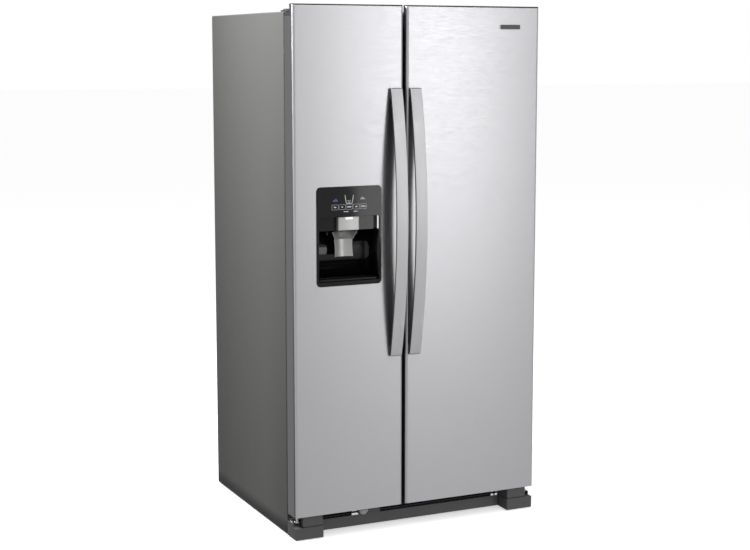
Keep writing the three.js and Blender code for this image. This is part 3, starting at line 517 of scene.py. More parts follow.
def make_floor():
    mesh = bmesh.new()
    corners = [mesh.verts.new((x * 60, y * 60, -0.0005)) for x, y in ((-1, -1), (1, -1), (1, 1), (-1, 1))]
    mesh.faces.new(corners)
    data = bpy.data.meshes.new("floor")
    mesh.to_mesh(data)
    mesh.free()
    floor = bpy.data.objects.new("floor", data)
    bpy.context.scene.collection.objects.link(floor)
    material = bpy.data.materials.new("floor_white")
    material.use_nodes = True
    surface = material.node_tree.nodes["Principled BSDF"]
    surface.inputs["Base Color"].default_value = (0.9, 0.9, 0.9, 1)
    surface.inputs["Roughness"].default_value = 0.8
    surface.inputs["Specular IOR Level"].default_value = 0.0
    surface.inputs["Emission Color"].default_value = (1, 1, 1, 1)
    surface.inputs["Emission Strength"].default_value = 0.55
    data.materials.append(material)
    floor.visible_diffuse = False
    floor.visible_glossy = False


def make_studio():
    scene = bpy.context.scene
    scene.view_settings.view_transform = "Standard"
    make_camera()
    make_world()
    make_floor()
    area_light("front_right", (2.04, -4.3, 1.6), (0.0, -0.35, 0.9), (0.9, 2.4), 18.5)
    area_light("overhead", (0.0, -1.2, 4.2), (0.0, 0.0, 0.6), (3.2, 3.2), 60)
    area_light("left_high", (-1.9, 0.1, 2.9), (-0.455, 0.1, 1.6), (1.2, 1.0), 142)


# ---------------------------------------------------------------- Planes of the object

FREEZER_X, _, DOOR_Z = span("freezer_door_skin")
FRIDGE_X, DOOR_Y, _ = span("fridge_door_skin")
DOOR_FRONT, SKIN_BACK = DOOR_Y
WRAPPER_X, WRAPPER_Y, WRAPPER_Z = span("cabinet_wrapper")
CABINET_FRONT = WRAPPER_Y[0]
CAP_LOW = span("freezer_door_cap_top")[2][0]
DOOR_BACK = span("freezer_door_cap_top")[1][1]
CORNER = 9.0
HINGE_X = 435.5
HINGE_Y = DOOR_FRONT + 37.0
SKIN_TOP = DOOR_Z[1] - 4.0
LIP_Y = DOOR_FRONT + 14.0
WALL_Y = DOOR_FRONT + 24.0
DOORS = {
    "freezer_door": {"x": FREEZER_X, "prefix": "freezer"},
    "fridge_door": {"x": FRIDGE_X, "prefix": "fridge"},
}


# ---------------------------------------------------------------- Doors


def door_path(x, inset=0.0, steps=8):
    """The door's outline from above: left back, round both front corners, right back.

    A point next to each end of a corner keeps the flat faces flat under smooth shading."""
    radius = CORNER - inset
    left, right = x[0] + inset, x[1] - inset
    front = DOOR_FRONT + inset
    path = [(left, SKIN_BACK), (left, LIP_Y), (left, front + radius + 0.6)]
    path += arc((left + radius, front + radius), radius, 180, 270, steps)
    path += [(left + radius + 0.6, front), (right - radius - 0.6, front)]
    path += arc((right - radius, front + radius), radius, 270, 360, steps)
    return path + [(right, front + radius + 0.6), (right, LIP_Y), (right, SKIN_BACK)]


def door_skin(body):
    """Folded steel sheet with a window for the dispenser and a step at the top of both sides."""
    x = DOORS[body]["x"]
    prefix = DOORS[body]["prefix"]
    path = door_path(x)
    levels = [DOOR_Z[0], DOOR_Z[0] + 2, CAP_LOW, SKIN_TOP - 2.0, SKIN_TOP - 1.2, SKIN_TOP - 0.3, SKIN_TOP]
    window = None
    if body == "freezer_door":
        window = [grow(pair, -3) for pair in (span("dispenser_fascia")[0], span("dispenser_fascia")[2])]
        levels = sorted(levels + list(window[1]))
        middle_at = len(path) // 2
        path = path[:middle_at] + [(window[0][0], DOOR_FRONT), (window[0][1], DOOR_FRONT)] + path[middle_at:]
    shape = Shape()
    mesh = shape.mesh
    rows = []
    for level in levels:
        roll = max(0.0, level - (SKIN_TOP - 1.2)) ** 2 * 0.8
        rows.append([mesh.verts.new((px, py + (roll if py < LIP_Y - 1 else 0.0), level)) for px, py in path])
    for row, (low, high) in enumerate(zip(levels, levels[1:])):
        for i in range(len(path) - 1):
            behind = path[i][1] >= LIP_Y - 0.01 and path[i + 1][1] >= LIP_Y - 0.01
            if behind and low >= CAP_LOW - 0.01:
                continue
            if window and low >= window[1][0] - 0.01 and high <= window[1][1] + 0.01:
                if path[i][0] == window[0][0] and path[i + 1][0] == window[0][1]:
                    continue
            mesh.faces.new((rows[row][i], rows[row][i + 1], rows[row + 1][i + 1], rows[row + 1][i]))
    loose = [v for v in mesh.verts if not v.link_faces]
    bmesh.ops.delete(mesh, geom=loose, context="VERTS")
    piece = make_object(mesh, f"{prefix}_door_panel", body, "door_steel", stands_for=[f"{prefix}_door_skin"])
    add_solidify(piece, 1.2)
    add_bevel(piece, 0.3, 2)


def top_cap(body):
    """Moulded cap along the door's top: a lip over the steel, a wall behind it and the lower rear deck."""
    x = DOORS[body]["x"]
    prefix = DOORS[body]["prefix"]
    top = DOOR_Z[1]
    deck = span(f"{prefix}_door_cap_top")[2][0] + 11.7
    profile = [(LIP_Y - 3, CAP_LOW + 0.4), (DOOR_BACK, CAP_LOW + 0.4), (DOOR_BACK, deck - 1.2)]
    profile += [(DOOR_BACK - 1.2, deck), (WALL_Y + 9, deck)]
    profile += arc((WALL_Y + 9, deck + 9), 9, 270, 180, 6)
    profile += [(WALL_Y, top - 1.5), (WALL_Y - 1.5, top), (LIP_Y - 3, top)]
    shape = Shape()
    shape.prism(profile, "x", grow(x, -0.25))
    lip = [p for p in door_path(x, 0.3) if p[1] < LIP_Y]
    lip = [(lip[0][0], LIP_Y)] + lip + [(lip[-1][0], LIP_Y)]
    shape.prism(lip, "z", (SKIN_TOP + 0.25, top))
    hinge_x = -HINGE_X if prefix == "freezer" else HINGE_X
    shape.rod("z", (hinge_x, HINGE_Y), (deck - 0.5, deck + 1.2), 12, 0.5)
    shape.place(f"{prefix}_door_cap", body, "dark_plastic", bevel=0.5, segments=2,
                stands_for=[f"{prefix}_door_cap_top"])


def handle(body):
    """Bowed strap: a light brushed front strip on a dark moulded back, with end pads on the door."""
    prefix = DOORS[body]["prefix"]
    x, y, z = span(f"{prefix}_handle")
    reach = DOOR_FRONT - y[0]
    thick = 13.0
    steps = 56

    def face(level):
        t = (level - z[0]) / (z[1] - z[0])
        return DOOR_FRONT - thick - (reach - thick) * max(0.0, math.sin(math.pi * t)) ** 0.85

    def rings(inset, front, back, ends, crown):
        """Rounded sections up the bow, from a depth in front to one behind the face line."""
        made = []
        for i in range(steps + 1):
            level = z[0] + ends + (z[1] - z[0] - 2 * ends) * (0.5 - 0.5 * math.cos(math.pi * i / steps))
            line = face(level)
            low, high = line + front, min(line + back, DOOR_FRONT - 0.3)
            section = []
            for px, py in rounded(grow(x, -inset), (low, high), min(2.2, (high - low) / 2 - 0.1), 4):
                lift = crown * (1 - ((px - middle(x)) / (0.5 * (x[1] - x[0]))) ** 2) if py < low + 0.6 else 0
                section.append((px, py - lift, level))
            made.append(section)
        return made

    Shape().skin(rings(0.0, 0.9, 4.6, 0.0, 0.9)).place(
        f"{prefix}_handle_strap", body, "handle_steel", stands_for=[f"{prefix}_handle"])
    foot = 34.0
    core = Shape()
    core.skin(rings(0.9, 4.0, thick, 0.6, 0.0))
    for low, high in ((z[0] + 0.6, z[0] + foot), (z[1] - foot, z[1] - 0.6)):
        levels = [low + (high - low) * i / 10 for i in range(11)]
        core.skin([
            [(px, py, level) for px, py in
             rounded(grow(x, -0.9), (face(level) + 4.0, DOOR_FRONT - 0.3), 2.0, 4)]
            for level in levels
        ])
    core.place(f"{prefix}_handle_core", body, "handle_steel", finish="handle_side")
    caps = Shape()
    for level in (z[0], z[1]):
        inward = 1 if level == z[0] else -1
        pair = sorted((level, level + inward * 2.0))
        caps.prism(rounded(grow(x, -0.4), (DOOR_FRONT - thick, DOOR_FRONT - 0.3), 2.4, 4), "z", pair)
    caps.place(f"{prefix}_handle_ends", body, "handle_steel", bevel=0.5, finish="handle_side")


def door_gasket(body):
    """Bellows seal with a magnet strip: a folded section carried round the opening."""
    prefix = DOORS[body]["prefix"]
    x, y, z = span(f"{prefix}_door_gasket")
    opening = span(f"{prefix}_liner")
    inner_x = grow(opening[0], 1.5)
    inner_z = grow(opening[2], 4.5)
    section = [
        (0.1, 0.0), (0.9, 0.0), (0.9, 0.18), (0.62, 0.3), (0.98, 0.48), (0.66, 0.62), (1.0, 0.74), (1.0, 1.0),
        (0.08, 1.0), (0.08, 0.74), (0.42, 0.62), (0.06, 0.48), (0.44, 0.3), (0.1, 0.18),
    ]
    rings = []
    for across, depth in section:
        a = (inner_x[0] + (x[0] - inner_x[0]) * across, inner_x[1] + (x[1] - inner_x[1]) * across)
        b = (inner_z[0] + (z[0] - inner_z[0]) * across, inner_z[1] + (z[1] - inner_z[1]) * across)
        level = y[0] + (y[1] - y[0]) * depth
        rings.append([put("y", p, q, level) for p, q in rounded(a, b, 7 + 6 * across, 4)])
    Shape().skin(rings, around=True).place(
        f"{prefix}_door_seal", body, "gasket_grey", stands_for=[f"{prefix}_door_gasket"], sharp=60)


def badge():
    """Plain generic badge: a dark satin bar inside a raised bright rim, with no lettering."""
    x, z = (FRIDGE_X[1] - 154, FRIDGE_X[1] - 74), (1688, 1706)
    bar = Shape()
    bar.prism(rounded(grow(x, -1), grow(z, -1), 3), "y", (DOOR_FRONT - 1.3, DOOR_FRONT + 0.2))
    bar.place("badge_bar", "fridge_door", "silver_plastic", bevel=0.3, segments=2, finish="charcoal_plastic")
    rim = Shape()
    inside = rounded(grow(x, -1.8), grow(z, -1.8), 2.2)
    rim.plate(rounded(x, z, 3.5), inside, "y", (DOOR_FRONT - 1.9, DOOR_FRONT + 0.1))
    rim.place("badge_rim", "fridge_door", "silver_plastic", bevel=0.4, segments=2)


# ---------------------------------------------------------------- Dispenser

FASCIA_X, FASCIA_Y, FASCIA_Z = span("dispenser_fascia")
MID = middle(span("dispenser_paddle")[0])
RECESS_X = grow(FASCIA_X, -7.5)
RECESS_FLOOR = FASCIA_Z[0] + 16
RECESS_CEILING = FASCIA_Z[0] + 181
PANEL_BOTTOM = FASCIA_Z[0] + 228
RECESS_BACK = DOOR_FRONT + 78
BAND_Y = DOOR_FRONT + 22


def fascia():
    shape = Shape()
    outer = rounded(FASCIA_X, FASCIA_Z, 15, 8)
    inner = rounded(RECESS_X, (RECESS_FLOOR - 4, PANEL_BOTTOM), 9, 8)
    shape.plate(outer, inner, "y", (FASCIA_Y[0], FASCIA_Y[1] + 0.3))
    shape.place("dispenser_bezel", "freezer_door", "gloss_black", bevel=0.7, stands_for=["dispenser_fascia"])


def recess():
    """Gloss recess: side walls that run round into the back, a floor, a ceiling and the band above it."""
    front = DOOR_FRONT - 0.6
    radius = 20
    path = [(RECESS_X[0], front)]
    path += arc((RECESS_X[0] + radius, RECESS_BACK - radius), radius, 180, 90, 8)
    path += arc((RECESS_X[1] - radius, RECESS_BACK - radius), radius, 90, 0, 8)
    path += [(RECESS_X[1], front)]
    walls = Shape()
    levels = [RECESS_FLOOR - 4, RECESS_CEILING + 1]
    walls.skin([[(px, py, level) for px, py in path] for level in levels], caps=False, closed=False)
    piece = make_object(walls.mesh, "dispenser_recess", "freezer_door", "gloss_black", finish="recess_black",
                        stands_for=["dispenser_housing"])
    add_solidify(piece, 1.5, outwards=True)
    parts = Shape()
    parts.prism(path, "z", (RECESS_FLOOR - 5, RECESS_FLOOR - 2))
    passage = rounded((MID - 38, MID + 38), (BAND_Y + 1, DOOR_FRONT + 75), 4, 8)
    ceiling = rounded(RECESS_X, (BAND_Y + 0.5, RECESS_BACK), 6, 8)
    parts.plate(ceiling, passage, "z", (RECESS_CEILING, RECESS_CEILING + 3))
    parts.box(RECESS_X, (BAND_Y, BAND_Y + 2), (RECESS_CEILING, PANEL_BOTTOM + 4))
    parts.box((MID - 0.6, MID + 0.6), (RECESS_BACK - 1.2, RECESS_BACK), (RECESS_FLOOR + 6, RECESS_FLOOR + 86))
    for x in (RECESS_X[0] - 1, RECESS_X[1]):
        parts.box((x, x + 1), (front, BAND_Y + 2), (RECESS_CEILING, PANEL_BOTTOM + 4))
    parts.box(RECESS_X, (front, BAND_Y + 2), (PANEL_BOTTOM + 0.5, PANEL_BOTTOM + 4))
    for side in (-1, 1):
        x = sorted((MID + side * 50, MID + side * 56))
        parts.box(x, (DOOR_FRONT + 60, RECESS_BACK), (RECESS_CEILING - 19, RECESS_CEILING + 1))
    parts.place("dispenser_recess_parts", "freezer_door", "gloss_black", bevel=0.5, segments=2)


def tray():
    """Drip tray: a shallow pan with a removable slotted grid."""
    x, y, z = span("drip_tray")
    shape = Shape()
    shape.plate(rounded(x, y, 8), rounded(grow(x, -5), grow(y, -5), 4), "z", (z[0], z[1]))
    shape.prism(rounded(grow(x, -4), grow(y, -4), 5), "z", (z[0], z[0] + 1.5))
    shape.place("drip_tray_pan", "freezer_door", "dark_plastic", bevel=0.5, stands_for=["drip_tray"],
                finish="recess_black")
    grid = Shape()
    count = 22
    for i in range(count):
        left = x[0] + 8 + (x[1] - x[0] - 16) * (i + 0.5) / count
        grid.box((left - 1.4, left + 1.4), grow(y, -6), (z[0] + 2, z[1] - 0.6))
    for level in (y[0] + 18, y[1] - 18):
        grid.box(grow(x, -6), (level - 1, level + 1), (z[0] + 1.8, z[1] - 1.2))
    grid.place("drip_tray_grid", "freezer_door", "dark_plastic", bevel=0.4, segments=2, finish="recess_black")


def chute_cover():
    """Satin cover of the chute's end, with a glowing white lens at the top of its face whose glow is a
    painted highlight, and a glowing strip on the recess's right wall whose glow is painted light where it
    stands in shade.
    """
    shape = Shape()
    outline = rounded((MID - 38, MID + 38), (DOOR_FRONT + 2, BAND_Y + 0.5), 4)
    shape.prism(outline, "z", (RECESS_CEILING + 2, PANEL_BOTTOM - 1))
    shape.place("chute_cover", "freezer_door", "silver_plastic", bevel=0.8)
    # The lens at the top of the cover glows: a painted highlight, not a lit lamp.
    glow_lens = Shape()
    lens = rounded((MID - 13, MID + 13), (PANEL_BOTTOM - 9, PANEL_BOTTOM - 2), 2.5)
    glow_lens.prism(lens, "y", (DOOR_FRONT + 0.8, DOOR_FRONT + 2.4))
    glow_lens.place("dispenser_painted_highlight_lens", "freezer_door", "white_plastic", bevel=0.4, finish="lamp_glow_and_painted_highlight_white")
    # The strip on the recess wall glows too: painted light on a part that stands in shade.
    strip = Shape()
    strip.prism(rounded((DOOR_FRONT + 6, DOOR_FRONT + 16), (RECESS_CEILING + 2, PANEL_BOTTOM - 1), 1.5), "x",
                (RECESS_X[1] - 1.0, RECESS_X[1] + 0.2))
    strip.place("dispenser_side_painted_light_strip", "freezer_door", "white_plastic", bevel=0.3, finish="lamp_glow_and_painted_highlight_white")


def paddle():
    """Lever: a flared hood that guides the ice, and a hollow-faced scoop that the glass pushes."""
    pivot_y, pivot_z = DOOR_FRONT + 68, RECESS_CEILING - 11

    def section(half, front, back, level, bulge):
        """A U from above, open at the front: left arm, curved back, right arm."""
        points = []
        for i in range(17):
            t = -1 + i / 8
            points.append((MID + half * t, back - (back - front) * abs(t) ** bulge, level))
        return points

    hood = Shape()
    hood.skin([
        section(46, pivot_y - 30, pivot_y + 1, pivot_z + 3.5, 2.2),
        section(41, pivot_y - 29, pivot_y - 1, pivot_z - 6, 2.2),
        section(36.5, pivot_y - 27.5, pivot_y - 4, pivot_z - 15, 2.4),
        section(34, pivot_y - 26, pivot_y - 8, pivot_z - 22, 2.6),
    ], caps=False, closed=False)
    scoop_rows = []
    for i in range(9):
        t = i / 8
        level = pivot_z - 22 - 58 * t
        lean = -1 - 6 * t ** 0.8
        half = 34 - 1.6 * math.sin(math.pi * t)
        scoop_rows.append(section(half, pivot_y - 17 + lean, pivot_y - 6 + lean, level, 2.0))
    hood.skin(scoop_rows, caps=False, closed=False)
    piece = make_object(hood.mesh, "paddle_scoop", "dispenser_paddle", "silver_plastic", sharp=75,
                        stands_for=["dispenser_paddle"])
    add_solidify(piece, 2.6)
    add_bevel(piece, 0.9, 3)
    pins = Shape()
    pins.rod("x", (pivot_y, pivot_z), (MID - 52, MID + 52), 2.9, 0.5, 16)
    pins.box((MID - 45, MID - 40), (pivot_y - 5, pivot_y + 3), (pivot_z - 4, pivot_z + 4))
    pins.box((MID + 40, MID + 45), (pivot_y - 5, pivot_y + 3), (pivot_z - 4, pivot_z + 4))
    pins.place("paddle_pins", "dispenser_paddle", "silver_plastic", bevel=0.4, finish="recess_black")


def panel_marks():
    """Generic raised marks of the touch panel: a cup, two small signs and five plain keys."""
    face = (FASCIA_Y[0] - 0.35, FASCIA_Y[0] + 0.1)
    left = FREEZER_X[0]
    marks = Shape()

    def stroke(points, width=1.5):
        """A flat line with square ends."""
        for (ax, az), (bx, bz) in zip(points, points[1:]):
            along = Vector((bx - ax, bz - az)).normalized()
            nx, nz = -along.y * width / 2, along.x * width / 2
            ex, ez = along.x * width / 2, along.y * width / 2
            outline = [(ax + nx - ex, az + nz - ez), (bx + nx + ex, bz + nz + ez),
                       (bx - nx + ex, bz - nz + ez), (ax - nx - ex, az - nz - ez)]
            marks.prism(outline, "y", face)

    cup = left + 196.5
    stroke([(cup - 15, 1148), (cup - 10.5, 1122), (cup + 10.5, 1122), (cup + 15, 1148)], 2.4)
    for dx, dz in ((-4, 1130), (4, 1131), (0, 1126.5)):
        marks.prism(rounded((cup + dx - 1.6, cup + dx + 1.6), (dz - 1.6, dz + 1.6), 0.8, 2), "y", face)
    keys = [(left + 134 + i * 25.4, left + 134 + i * 25.4 + 23.6) for i in range(5)]
    for x in keys:
        inside = rounded(grow(x, -0.7), (1102.7, 1118.3), 2.3, 4)
        marks.plate(rounded(x, (1102, 1119), 3, 4), inside, "y", face)
    for i, x in enumerate(keys):
        wide = (4.5, 3.0, 7.5, 4.0, 8.0)[i]
        marks.prism(rounded((middle(x) - wide, middle(x) + wide), (1108.6, 1112.6), 1.6, 3), "y", face)
    for start, end in ((176, 194), (212, 227)):
        marks.prism(rounded((left + start, left + end), (1093.8, 1096.4), 1.1, 3), "y", face)
    right_sign = left + 244.5
    for dx, height in ((-6, 5), (-1.5, 9), (3, 6.5), (7, 4)):
        bar = (right_sign + dx - 1.3, right_sign + dx + 1.3)
        marks.prism(rounded(bar, (1133, 1133 + height), 0.9, 3), "y", face)
    marks.place("panel_marks", "freezer_door", "gloss_black", finish="icon_white")
    blue = Shape()
    left_sign = left + 146
    for dx, height in ((-6, 5), (-1.5, 7), (3, 10), (7, 5)):
        bar = (left_sign + dx - 1.4, left_sign + dx + 1.4)
        blue.prism(rounded(bar, (1129, 1129 + height), 0.9, 3), "y", face)
    blue.place("panel_sign", "freezer_door", "gloss_black", finish="icon_blue")


# ---------------------------------------------------------------- Cabinet outside


def cabinet_shell():
    """Painted wrapper: both sides and the top in one bent sheet, with a folded front edge."""
    x, y, z = WRAPPER_X, WRAPPER_Y, WRAPPER_Z
    radius = 4.0
    path = [(x[0], z[0], (-1, 0)), (x[0], z[0] + 52, (-1, 0))]
    for px, pz in arc((x[0] + radius, z[1] - radius), radius, 180, 90, 6):
        path.append((px, pz, ((px - x[0] - radius) / radius, (pz - z[1] + radius) / radius)))
    for px, pz in arc((x[1] - radius, z[1] - radius), radius, 90, 0, 6):
        path.append((px, pz, ((px - x[1] + radius) / radius, (pz - z[1] + radius) / radius)))
    path += [(x[1], z[0] + 52, (1, 0)), (x[1], z[0], (1, 0))]
    fold = 3.0
    section = [(y[1], 0.0)]
    section += [(y[0] + fold - fold * math.sin(math.radians(a)), fold - fold * math.cos(math.radians(a)))
                for a in range(0, 91, 15)]
    section += [(y[0], 12.0)]
    shape = Shape()
    rings = []
    for depth, inset in section:
        rings.append([(px - nx * inset, depth, pz - nz * inset) for px, pz, (nx, nz) in path])
    shape.skin(rings, caps=False, closed=False)
    bmesh.ops.recalc_face_normals(shape.mesh, faces=shape.mesh.faces)
    piece = make_object(shape.mesh, "cabinet_shell", "cabinet", "cabinet_paint",
                        stands_for=["cabinet_wrapper"])
    add_solidify(piece, 0.9)


def cabinet_face():
    """Front frame between the fold and the two liners."""
    freezer = span("freezer_liner")
    fridge = span("fridge_liner")
    left, right = grow(WRAPPER_X, -8)
    low, high = 100.0, WRAPPER_Z[1] - 8
    y = (CABINET_FRONT + 0.05, CABINET_FRONT + 1.0)
    shape = Shape()
    shape.box((left, freezer[0][0] + 1), y, (low, high))
    shape.box((freezer[0][1] - 1, fridge[0][0] + 1), y, (low, high))
    shape.box((fridge[0][1] - 1, right), y, (low, high))
    for x in (freezer[0], fridge[0]):
        shape.box(grow(x, -1), y, (low, freezer[2][0] + 1))
        shape.box(grow(x, -1), y, (freezer[2][1] - 1, high))
    shape.place("cabinet_front_frame", "cabinet", "cabinet_paint")


def arm_outline(side, margin):
    """Plan of the upper hinge arm: round about the pin, a neck the open door's lip passes, and a foot."""
    points = arc((0, 0), 8 + margin, 150, 360, 14)
    points += [(24 + margin, 12 - margin), (24 + margin, 46 - margin), (52 + margin, 50 - margin)]
    points += [(52 + margin, 88 + margin), (-6 - margin, 88 + margin), (-6 - margin, 46 - margin)]
    points += [(4 - margin, 30), (4 - margin, 24)]
    return [(side * HINGE_X - side * a, HINGE_Y + b) for a, b in points]


def hinge_cover(side):
    """Low moulded cover over the upper hinge, with a raised hump at its back end and one screw."""
    name = "left" if side < 0 else "right"
    z = span(f"top_hinge_cover_{name}")[2]
    shape = Shape()
    shape.prism(arm_outline(side, 2), "z", (z[0] + 0.1, z[1]))
    hump = [sorted((side * HINGE_X - side * a for a in (-4, 50))), (HINGE_Y + 60, HINGE_Y + 87)]
    shape.skin([
        [(a, b, z[1] - 1) for a, b in rounded(*hump, 7, 6)],
        [(a, b, z[1] + 3) for a, b in rounded(grow(hump[0], -1), grow(hump[1], -1.5), 6, 6)],
        [(a, b, z[1] + 4.5) for a, b in rounded(grow(hump[0], -4), grow(hump[1], -4), 4, 6)],
    ])
    shape.place(f"hinge_cap_{name}", "cabinet", "dark_plastic", bevel=0.8,
                stands_for=[f"top_hinge_cover_{name}"])
    screw_head((middle(hump[0]), middle(hump[1]), z[1] + 4.5), f"hinge_cap_screw_{name}")


def screw_head(place, name, axis="z"):
    """Domed screw head with a raised cross, standing on a surface of the cabinet."""
    px, py, pz = place
    centre, base = ((px, py), pz) if axis == "z" else ((px, pz), py)
    radius = 4.0
    shape = Shape()
    profile = [(radius, base - 0.2), (radius, base + 0.8)]
    profile += [(radius * 0.75, base + 1.7), (radius * 0.3, base + 2.1)]
    shape.lathe(profile, axis, centre, 20)
    for a, b in ((0.55, 0.14), (0.14, 0.55)):
        bar = [(c - radius * half, c + radius * half) for c, half in zip(centre, (a, b))]
        shape.prism(rect(*bar), axis, (base + 1.6, base + 2.25))
    shape.place(name, "cabinet", "zinc_steel")


# ---------------------------------------------------------------- Feet, lower hinges and grille


def foot_cover(side):
    """Moulded corner cover: a low box with soft corners, and a block above it with a hinge notch."""
    name = "left" if side < 0 else "right"
    x, y, z = span(f"foot_cover_{name}")
    outer, inner = (x[0], x[1]) if side < 0 else (x[1], x[0])

    def across(near, far):
        """A span given as distances from the cover's outer end."""
        pair = (outer - side * near, outer - side * far)
        return (min(pair), max(pair))

    width = abs(outer - inner)
    low = Shape()
    low.prism(rounded(across(0, width), (y[0], y[1]), 3.0, 5), "z", (z[0], z[0] + 40))
    low.prism(rounded(across(0, 3), (y[0] + 24, y[1]), 1.2, 3), "z", (z[0] + 38, z[0] + 52))
    low.place(f"foot_box_{name}", "cabinet", "charcoal_plastic", bevel=1.6, segments=4,
              stands_for=[f"foot_cover_{name}"])
    block = Shape()
    block.prism(rounded(across(26, width - 2), (y[0] + 2, y[0] + 22), 2.2, 5), "z", (z[0] + 43, z[1]))
    block.box(across(width - 4.5, width - 2), (y[0] + 18, y[1]), (z[0] + 40, z[1]))
    block.prism(rounded(across(30, width - 6), (y[0] + 5, y[0] + 20), 2.0, 4), "z", (z[0] + 39, z[0] + 44))
    block.place(f"foot_block_{name}", "cabinet", "charcoal_plastic", bevel=1.4, segments=4)


def lower_hinge(side):
    """Bright pin and cam barrel of the lower hinge, on the bracket."""
    name = "left" if side < 0 else "right"
    x, y, _ = span(f"bottom_hinge_{name}")
    centre = (side * HINGE_X, HINGE_Y)
    shape = Shape()
    barrel = [(9.5, 59.2), (9.5, 63), (8.2, 64), (8.2, 70), (9.4, 71), (9.4, 74)]
    pin = [(7.0, 79), (6.2, 80), (6.2, 90), (5.2, 91)]
    shape.lathe(barrel + pin, "z", centre, 32)
    shape.lathe([(12.5, 59), (12.5, 60.6), (11.8, 61.2)], "z", centre, 32)
    shape.place(f"lower_pin_{name}", "cabinet", "zinc_steel", finish="chrome_pin", sharp=50)
    for i, px in enumerate((x[0] + 14, x[1] - 14)):
        screw_head((px, y[1] - 12, 60.0), f"bracket_screw_{name}_{i}")


def grille():
    """Base grille: a lower panel, louvre bars with ribs behind, a solid stretch and the filter port."""
    x, y, z = span("base_grille")
    front, back = y[0], y[1]
    filter_x, filter_y, filter_z = span("water_filter")
    port = (middle(filter_x), middle(filter_z))
    radius = (filter_z[1] - filter_z[0]) / 2
    left_end = port[0] - radius - 6
    right_start = port[0] + 63
    panel = Shape()
    panel.box(x, (front, front + 3), (z[0], z[0] + 38))
    panel.box((x[0], left_end), (front, front + 3), (z[0] + 56, z[1]))
    panel.box((port[0] + radius + 1.5, right_start), (front, front + 3), (z[0] + 37, z[1]))
    panel.box((x[0], x[0] + 4), (front, front + 3), (z[0], z[1]))
    panel.box((x[1] - 4, x[1]), (front, front + 3), (z[0], z[1]))
    panel.box(x, (front + 2, back), (z[0], z[0] + 2.5))
    panel.box(x, (front + 2, back), (z[1] - 2.0, z[1]))
    panel.place("grille_panel", "cabinet", "charcoal_plastic", bevel=0.8, stands_for=["base_grille"])
    bars = Shape()
    level = z[0] + 46.5
    louvre = [(0.5, -1.5), (9, 1.5), (9, 3), (0.5, 0)]
    bars.prism([(front + a, level + b) for a, b in louvre], "x", (x[0] + 3, left_end))
    louvre = [(0.5, -1.6), (9, 1.6), (9, 3.4), (0.5, 0.6)]
    for level in (z[0] + 46.5, z[0] + 54.5, z[0] + 62.5):
        bars.prism([(front + a, level + b) for a, b in louvre], "x", (right_start - 1, x[1] - 3))
    rib_x = x[0] + 18
    while rib_x < x[1] - 10:
        if rib_x < left_end - 4 or rib_x > right_start + 4:
            bars.box((rib_x - 0.8, rib_x + 0.8), (front + 6, back), (z[0] + 36, z[1] - 1))
        rib_x += 16.0
    bars.place("grille_bars", "cabinet", "charcoal_plastic", bevel=0.4, segments=2, finish="dark_plastic")
    baffle = Shape()
    for pair in ((x[0] + 4, port[0] - radius - 8), (port[0] + radius + 8, x[1] - 4)):
        baffle.box(pair, (back + 34, back + 36), (z[0] + 6, 96))
        baffle.box(pair, (back + 34, back + 52), (z[0] + 6, z[0] + 8))
    baffle.place("air_baffle", "cabinet", "dark_plastic", bevel=0.5, segments=2)
    collar = Shape()
    circle = arc(port, radius + 1.2, 0, 345, 23)
    wide = arc(port, radius + 5, 0, 345, 23)
    collar.plate(wide, circle, "y", (front + 0.2, front + 12))
    collar.place("filter_collar", "cabinet", "charcoal_plastic", bevel=0.6, finish="dark_plastic")
    filter_end(port, radius, filter_y)


def filter_end(port, radius, y):
    """Filter cartridge with a ribbed knob and a finger grip across it."""
    shape = Shape()
    knob = y[0] + 6
    profile = [(radius - 3, knob), (radius - 0.6, knob + 1.6), (radius, knob + 4), (radius, knob + 27),
               (radius - 1.6, knob + 28), (radius - 1.6, y[1] - 1), (radius - 2.6, y[1])]
    shape.lathe(profile, "y", port, 40)
    for i in range(18):
        angle = 2 * math.pi * i / 18
        cx, cz = port[0] + (radius - 0.4) * math.cos(angle), port[1] + (radius - 0.4) * math.sin(angle)
        shape.rod("y", (cx, cz), (knob + 5, knob + 26), 0.9, 0.3, 8)
    shape.prism(rounded((port[0] - 13, port[0] + 13), (port[1] - 3, port[1] + 3), 2.5), "y", (y[0], knob + 1))
    shape.place("filter_cartridge", "water_filter", "filter_grey", stands_for=["water_filter"], sharp=50)


# ---------------------------------------------------------------- Inside the cabinet

COMPARTMENTS = {
    "freezer": {
        "shelves": ["freezer_shelf_lower", "freezer_shelf_upper"],
        "floor_drawer": "freezer_basket",
        "runner_drawer": None,
    },
    "fridge": {
        "shelves": ["fridge_shelf_lower", "fridge_shelf_upper", "crisper_shelf"],
        "floor_drawer": "crisper_lower",
        "runner_drawer": "crisper_upper",
    },
}


def cavity(name):
    """Inner walls of a compartment."""
    return [grow(pair, -1.5) for pair in span(f"{name}_liner")]


def liner(name):
    """Moulded liner: an open box with round inner corners and a step over the machine compartment."""
    x, y, z = cavity(name)
    front = span(f"{name}_liner")[1][0]
    step_front = span("freezer_basket")[1][1] + 10.5
    step_top = span("evaporator_cover")[2][0] - 1
    outline = [(front, z[0]), (step_front, z[0]), (step_front, step_top)]
    outline += [(y[1], step_top), (y[1], z[1]), (front, z[1])]
    shell = Shape()
    shell.skin([[(level, a, b) for a, b in outline] for level in x], closed=False)
    bmesh.ops.recalc_face_normals(shell.mesh, faces=shell.mesh.faces)
    piece = make_object(shell.mesh, f"{name}_liner_shell", "cabinet", "white_plastic",
                        stands_for=[f"{name}_liner"])
    add_bevel(piece, 9, 5)
    add_solidify(piece, 1.4, outwards=True)
    liner_supports(name, x, y)


